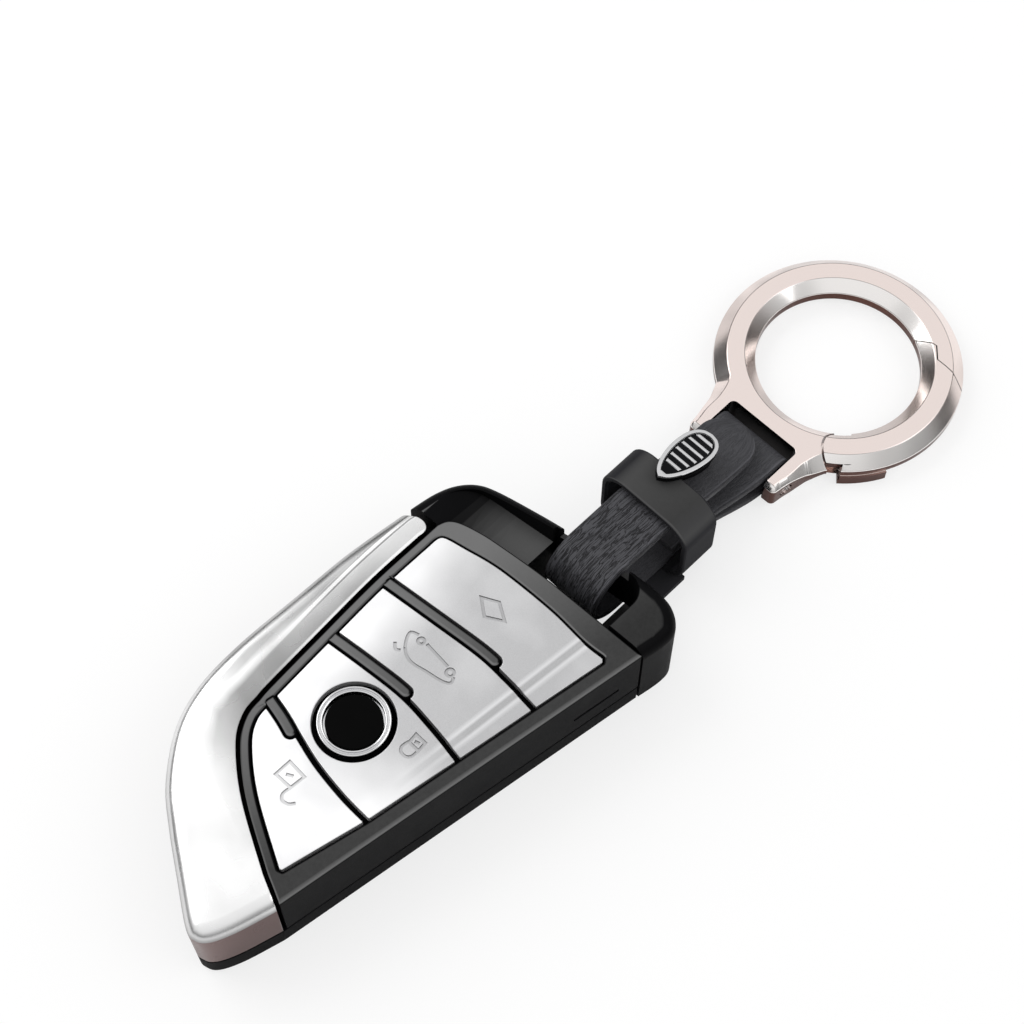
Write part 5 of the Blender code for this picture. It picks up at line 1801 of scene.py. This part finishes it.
class KEYCOVER_OT_ring(Operator):
    """Ring with its neck and the two ears that hold the pin."""

    bl_idname = "key_cover.ring"
    bl_label = "Ring"

    def execute(self, context):
        ring = settings().ring
        line, widths = ring_body_outline()
        count = len(line)
        inner = []
        for index, point in enumerate(line):
            run = (line[(index + 1) % count] - line[index - 1]).normalized()
            inner.append(point + Vector((-run.y, run.x)) * widths[index])
        item = stacked([
            [ring_point(point, 0.0) for point in inner],
            [ring_point(point, width) for point, width in zip(line, widths)],
            [ring_point(point, ring.thickness - width) for point, width in zip(line, widths)],
            [ring_point(point, ring.thickness) for point in inner],
        ])
        middle = ring_point((0.0, 0.0), 0.0)
        hole = [(0.0, -over), (ring.inner_flat, -over), *ring_section()[4:],
                (ring.inner_flat, ring.thickness + over), (0.0, ring.thickness + over)]
        cut(item, turned(hole, middle, ring.segments))
        top, low = window_length - ring_reach, -ear_reach - over
        right = arc((window_half - window_corner, top - window_corner), window_corner, 0.0, math.pi / 2, 8)
        window = [Vector((window_half, low))] + right + [Vector((-point.x, point.y)) for point in right][::-1]
        window.append(Vector((-window_half, low)))
        cut(item, ring_plate(window, -over, ring.thickness + over))
        soften(item, ring.soft_edge, 2, math.radians(25.0))
        cut(item, ring_plate(gate_outline(fit / 2, knuckle_room), -over, ring.thickness + over))
        tongue = hinge_strip(hinge_tongue_radius, toward_body, hinge_tongue_radius, hinge_tongue_reach)
        join(item, ring_plate(tongue, hinge_tongue_bottom, hinge_tongue_top))
        high = ring.thickness + over
        cut(item, bar_between(ring_point(hinge, -over), ring_point(hinge, high), hinge_pin_radius))
        cut(item, bar_between(strap_point(ring_shift - pin_half, pin_distance, pin_rise),
                              strap_point(ring_shift + pin_half, pin_distance, pin_rise), pin_radius))
        shade(item)
        as_piece(item, "gate_ring", warm_metal("warm_nickel", settings().finishes.nickel), "ring",
                 "ring_body")
        return {"FINISHED"}


class KEYCOVER_OT_gate(Operator):
    """Hinged gate of the ring with its thumb pad."""

    bl_idname = "key_cover.gate"
    bl_label = "Gate"

    def execute(self, context):
        ring = settings().ring
        item = turned(ring_section(), ring_point((0.0, 0.0), 0.0), ring.segments)
        soften(item, ring.soft_edge, 2, math.radians(25.0))
        trim(item, ring_plate(gate_outline(0.0), -over, ring.thickness + over))
        start, end = math.radians(-49.0), math.radians(-27.0)
        pad = arc((0.0, 0.0), pad_outer_radius, start, end, 16)
        pad += arc((0.0, 0.0), pad_inner_radius, end, start, 16)
        join(item, ring_plate(pad, 0.0, pad_top))
        reach = knuckle_radius + over
        slot = hinge_strip(hinge_slot_radius, toward_body - gate_swing / 2, reach, reach)
        cut(item, ring_plate(slot, hinge_slot_bottom, hinge_slot_top))
        cut(item, bar_between(ring_point(hinge, -over), ring_point(hinge, hinge_pin_top), hinge_pin_radius))
        shade(item)
        as_piece(item, "ring_gate_piece", warm_metal("gate_nickel", settings().finishes.nickel), "ring_gate",
                 "gate")
        return {"FINISHED"}


class KEYCOVER_OT_inner_parts(Operator):
    """Materials for the pieces that are mostly out of sight."""

    bl_idname = "key_cover.inner_parts"
    bl_label = "Inner parts"

    def execute(self, context):
        steel = polished("steel", settings().finishes.steel, 0.2, 0.1)
        for name in ("snap_post", "snap_socket", "ring_pin", "gate_pin", "gate_spring"):
            dress(name, steel)
        dress("button_pad", soft_rubber("pad_rubber"))
        return {"FINISHED"}


# The studio


class KEYCOVER_OT_studio(Operator):
    """Floor, light and camera."""

    bl_idname = "key_cover.studio"
    bl_label = "Studio"

    def lamp(self, name, place, target, size, power):
        bpy.ops.object.light_add(type="AREA", location=place)
        lamp = bpy.context.object
        lamp.name = name
        lamp.data.shape = "RECTANGLE"
        lamp.data.size, lamp.data.size_y = size
        lamp.data.energy = power
        lamp.rotation_euler = (Vector(target) - Vector(place)).to_track_quat("-Z", "Y").to_euler()
        return lamp

    def execute(self, context):
        studio = settings().studio
        bpy.ops.object.select_all(action="DESELECT")
        bpy.ops.mesh.primitive_plane_add(size=4.0, location=(0.0, 0.0, -0.0001))
        floor = bpy.context.object
        floor.name = "floor"
        surface = Finish("pale_floor", Roughness=0.9)
        cloud = surface.noise(surface.place((3.0, 3.0, 3.0)), 1.0)
        surface.feed("Base Color", surface.mix(cloud, (0.98, 0.98, 0.98, 1.0), (0.99, 0.99, 0.99, 1.0)))
        glow = surface.node("ShaderNodeEmission", {}, {"Color": (1.0, 1.0, 1.0, 1.0), "Strength": 1.0})
        seen = surface.node("ShaderNodeLightPath") * 0.70
        plain = Value(surface, surface.shader.outputs[0])
        both = surface.node("ShaderNodeMixShader", {}, {0: seen, 1: plain, 2: glow})
        surface.tree.links.new(both.socket, surface.tree.nodes["Material Output"].inputs["Surface"])
        floor.data.materials.append(surface.surface)

        self.lamp("main_lamp", (-0.55, -0.20, 0.55), (0.0, 0.03, 0.0), (0.6, 0.6), studio.key_power)
        self.lamp("fill_lamp", (0.35, 0.35, 0.45), (0.0, 0.03, 0.0), (0.4, 0.4), studio.fill_power)

        sky = Sky("soft_sky")
        height = sky.along((0.0, 0.0, 1.0), "Generated")
        patches = sky.noise(sky.place(pattern="Generated"), 1.4, 1.0)
        bright = sky.between(height + patches * 0.5, 0.0, 1.0, 0.35, 0.85)
        sky.feed("Color", sky.mix(bright, (0.10, 0.10, 0.10, 1.0), (1.0, 1.0, 1.0, 1.0)))
        sky.shader.inputs["Strength"].default_value = studio.sky_strength
        context.scene.world = sky.surface

        bpy.ops.object.camera_add(location=studio.camera_place)
        camera = bpy.context.object
        camera.name = "camera"
        camera.data.lens = studio.focal_length
        camera.data.sensor_width = 36.0
        camera.data.clip_start = 0.01
        level = math.cos(studio.camera_pitch)
        look = Vector((studio.camera_heading[0] * level, studio.camera_heading[1] * level,
                       -math.sin(studio.camera_pitch)))
        camera.rotation_euler = look.to_track_quat("-Z", "Y").to_euler()
        context.scene.camera = camera
        context.scene.view_settings.view_transform = "Standard"
        return {"FINISHED"}


class KEYCOVER_PT_panel(Panel):
    """List of the steps and settings of the key cover."""

    bl_idname = "KEYCOVER_PT_panel"
    bl_label = "Key cover"
    bl_space_type = "VIEW_3D"
    bl_region_type = "UI"
    bl_category = "Key cover"

    def draw(self, context):
        for step in steps:
            self.layout.operator(step.bl_idname)
        for group in ("cover", "strap", "ring", "finishes", "studio"):
            holder = getattr(context.scene.key_cover, group)
            box = self.layout.box()
            box.label(text=group.capitalize())
            for name in holder.bl_rna.properties.keys():
                if name not in ("rna_type", "name"):
                    box.prop(holder, name)


groups = (CoverSizes, StrapSizes, RingSizes, Finishes, Studio, KeyCoverSettings)
steps = (
    KEYCOVER_OT_studio, KEYCOVER_OT_back, KEYCOVER_OT_front, KEYCOVER_OT_blade, KEYCOVER_OT_buttons,
    KEYCOVER_OT_round_badge, KEYCOVER_OT_cap, KEYCOVER_OT_strap, KEYCOVER_OT_sleeve,
    KEYCOVER_OT_strap_badge, KEYCOVER_OT_ring, KEYCOVER_OT_gate, KEYCOVER_OT_inner_parts,
)


def register():
    for part in groups + steps + (KEYCOVER_PT_panel,):
        bpy.utils.register_class(part)
    bpy.types.Scene.key_cover = PointerProperty(type=KeyCoverSettings)


def unregister():
    del bpy.types.Scene.key_cover
    for part in reversed(groups + steps + (KEYCOVER_PT_panel,)):
        bpy.utils.unregister_class(part)


def main():
    register()
    for step in steps:
        area, name = step.bl_idname.split(".")
        getattr(getattr(bpy.ops, area), name)()


if __name__ == "__main__":
    main()
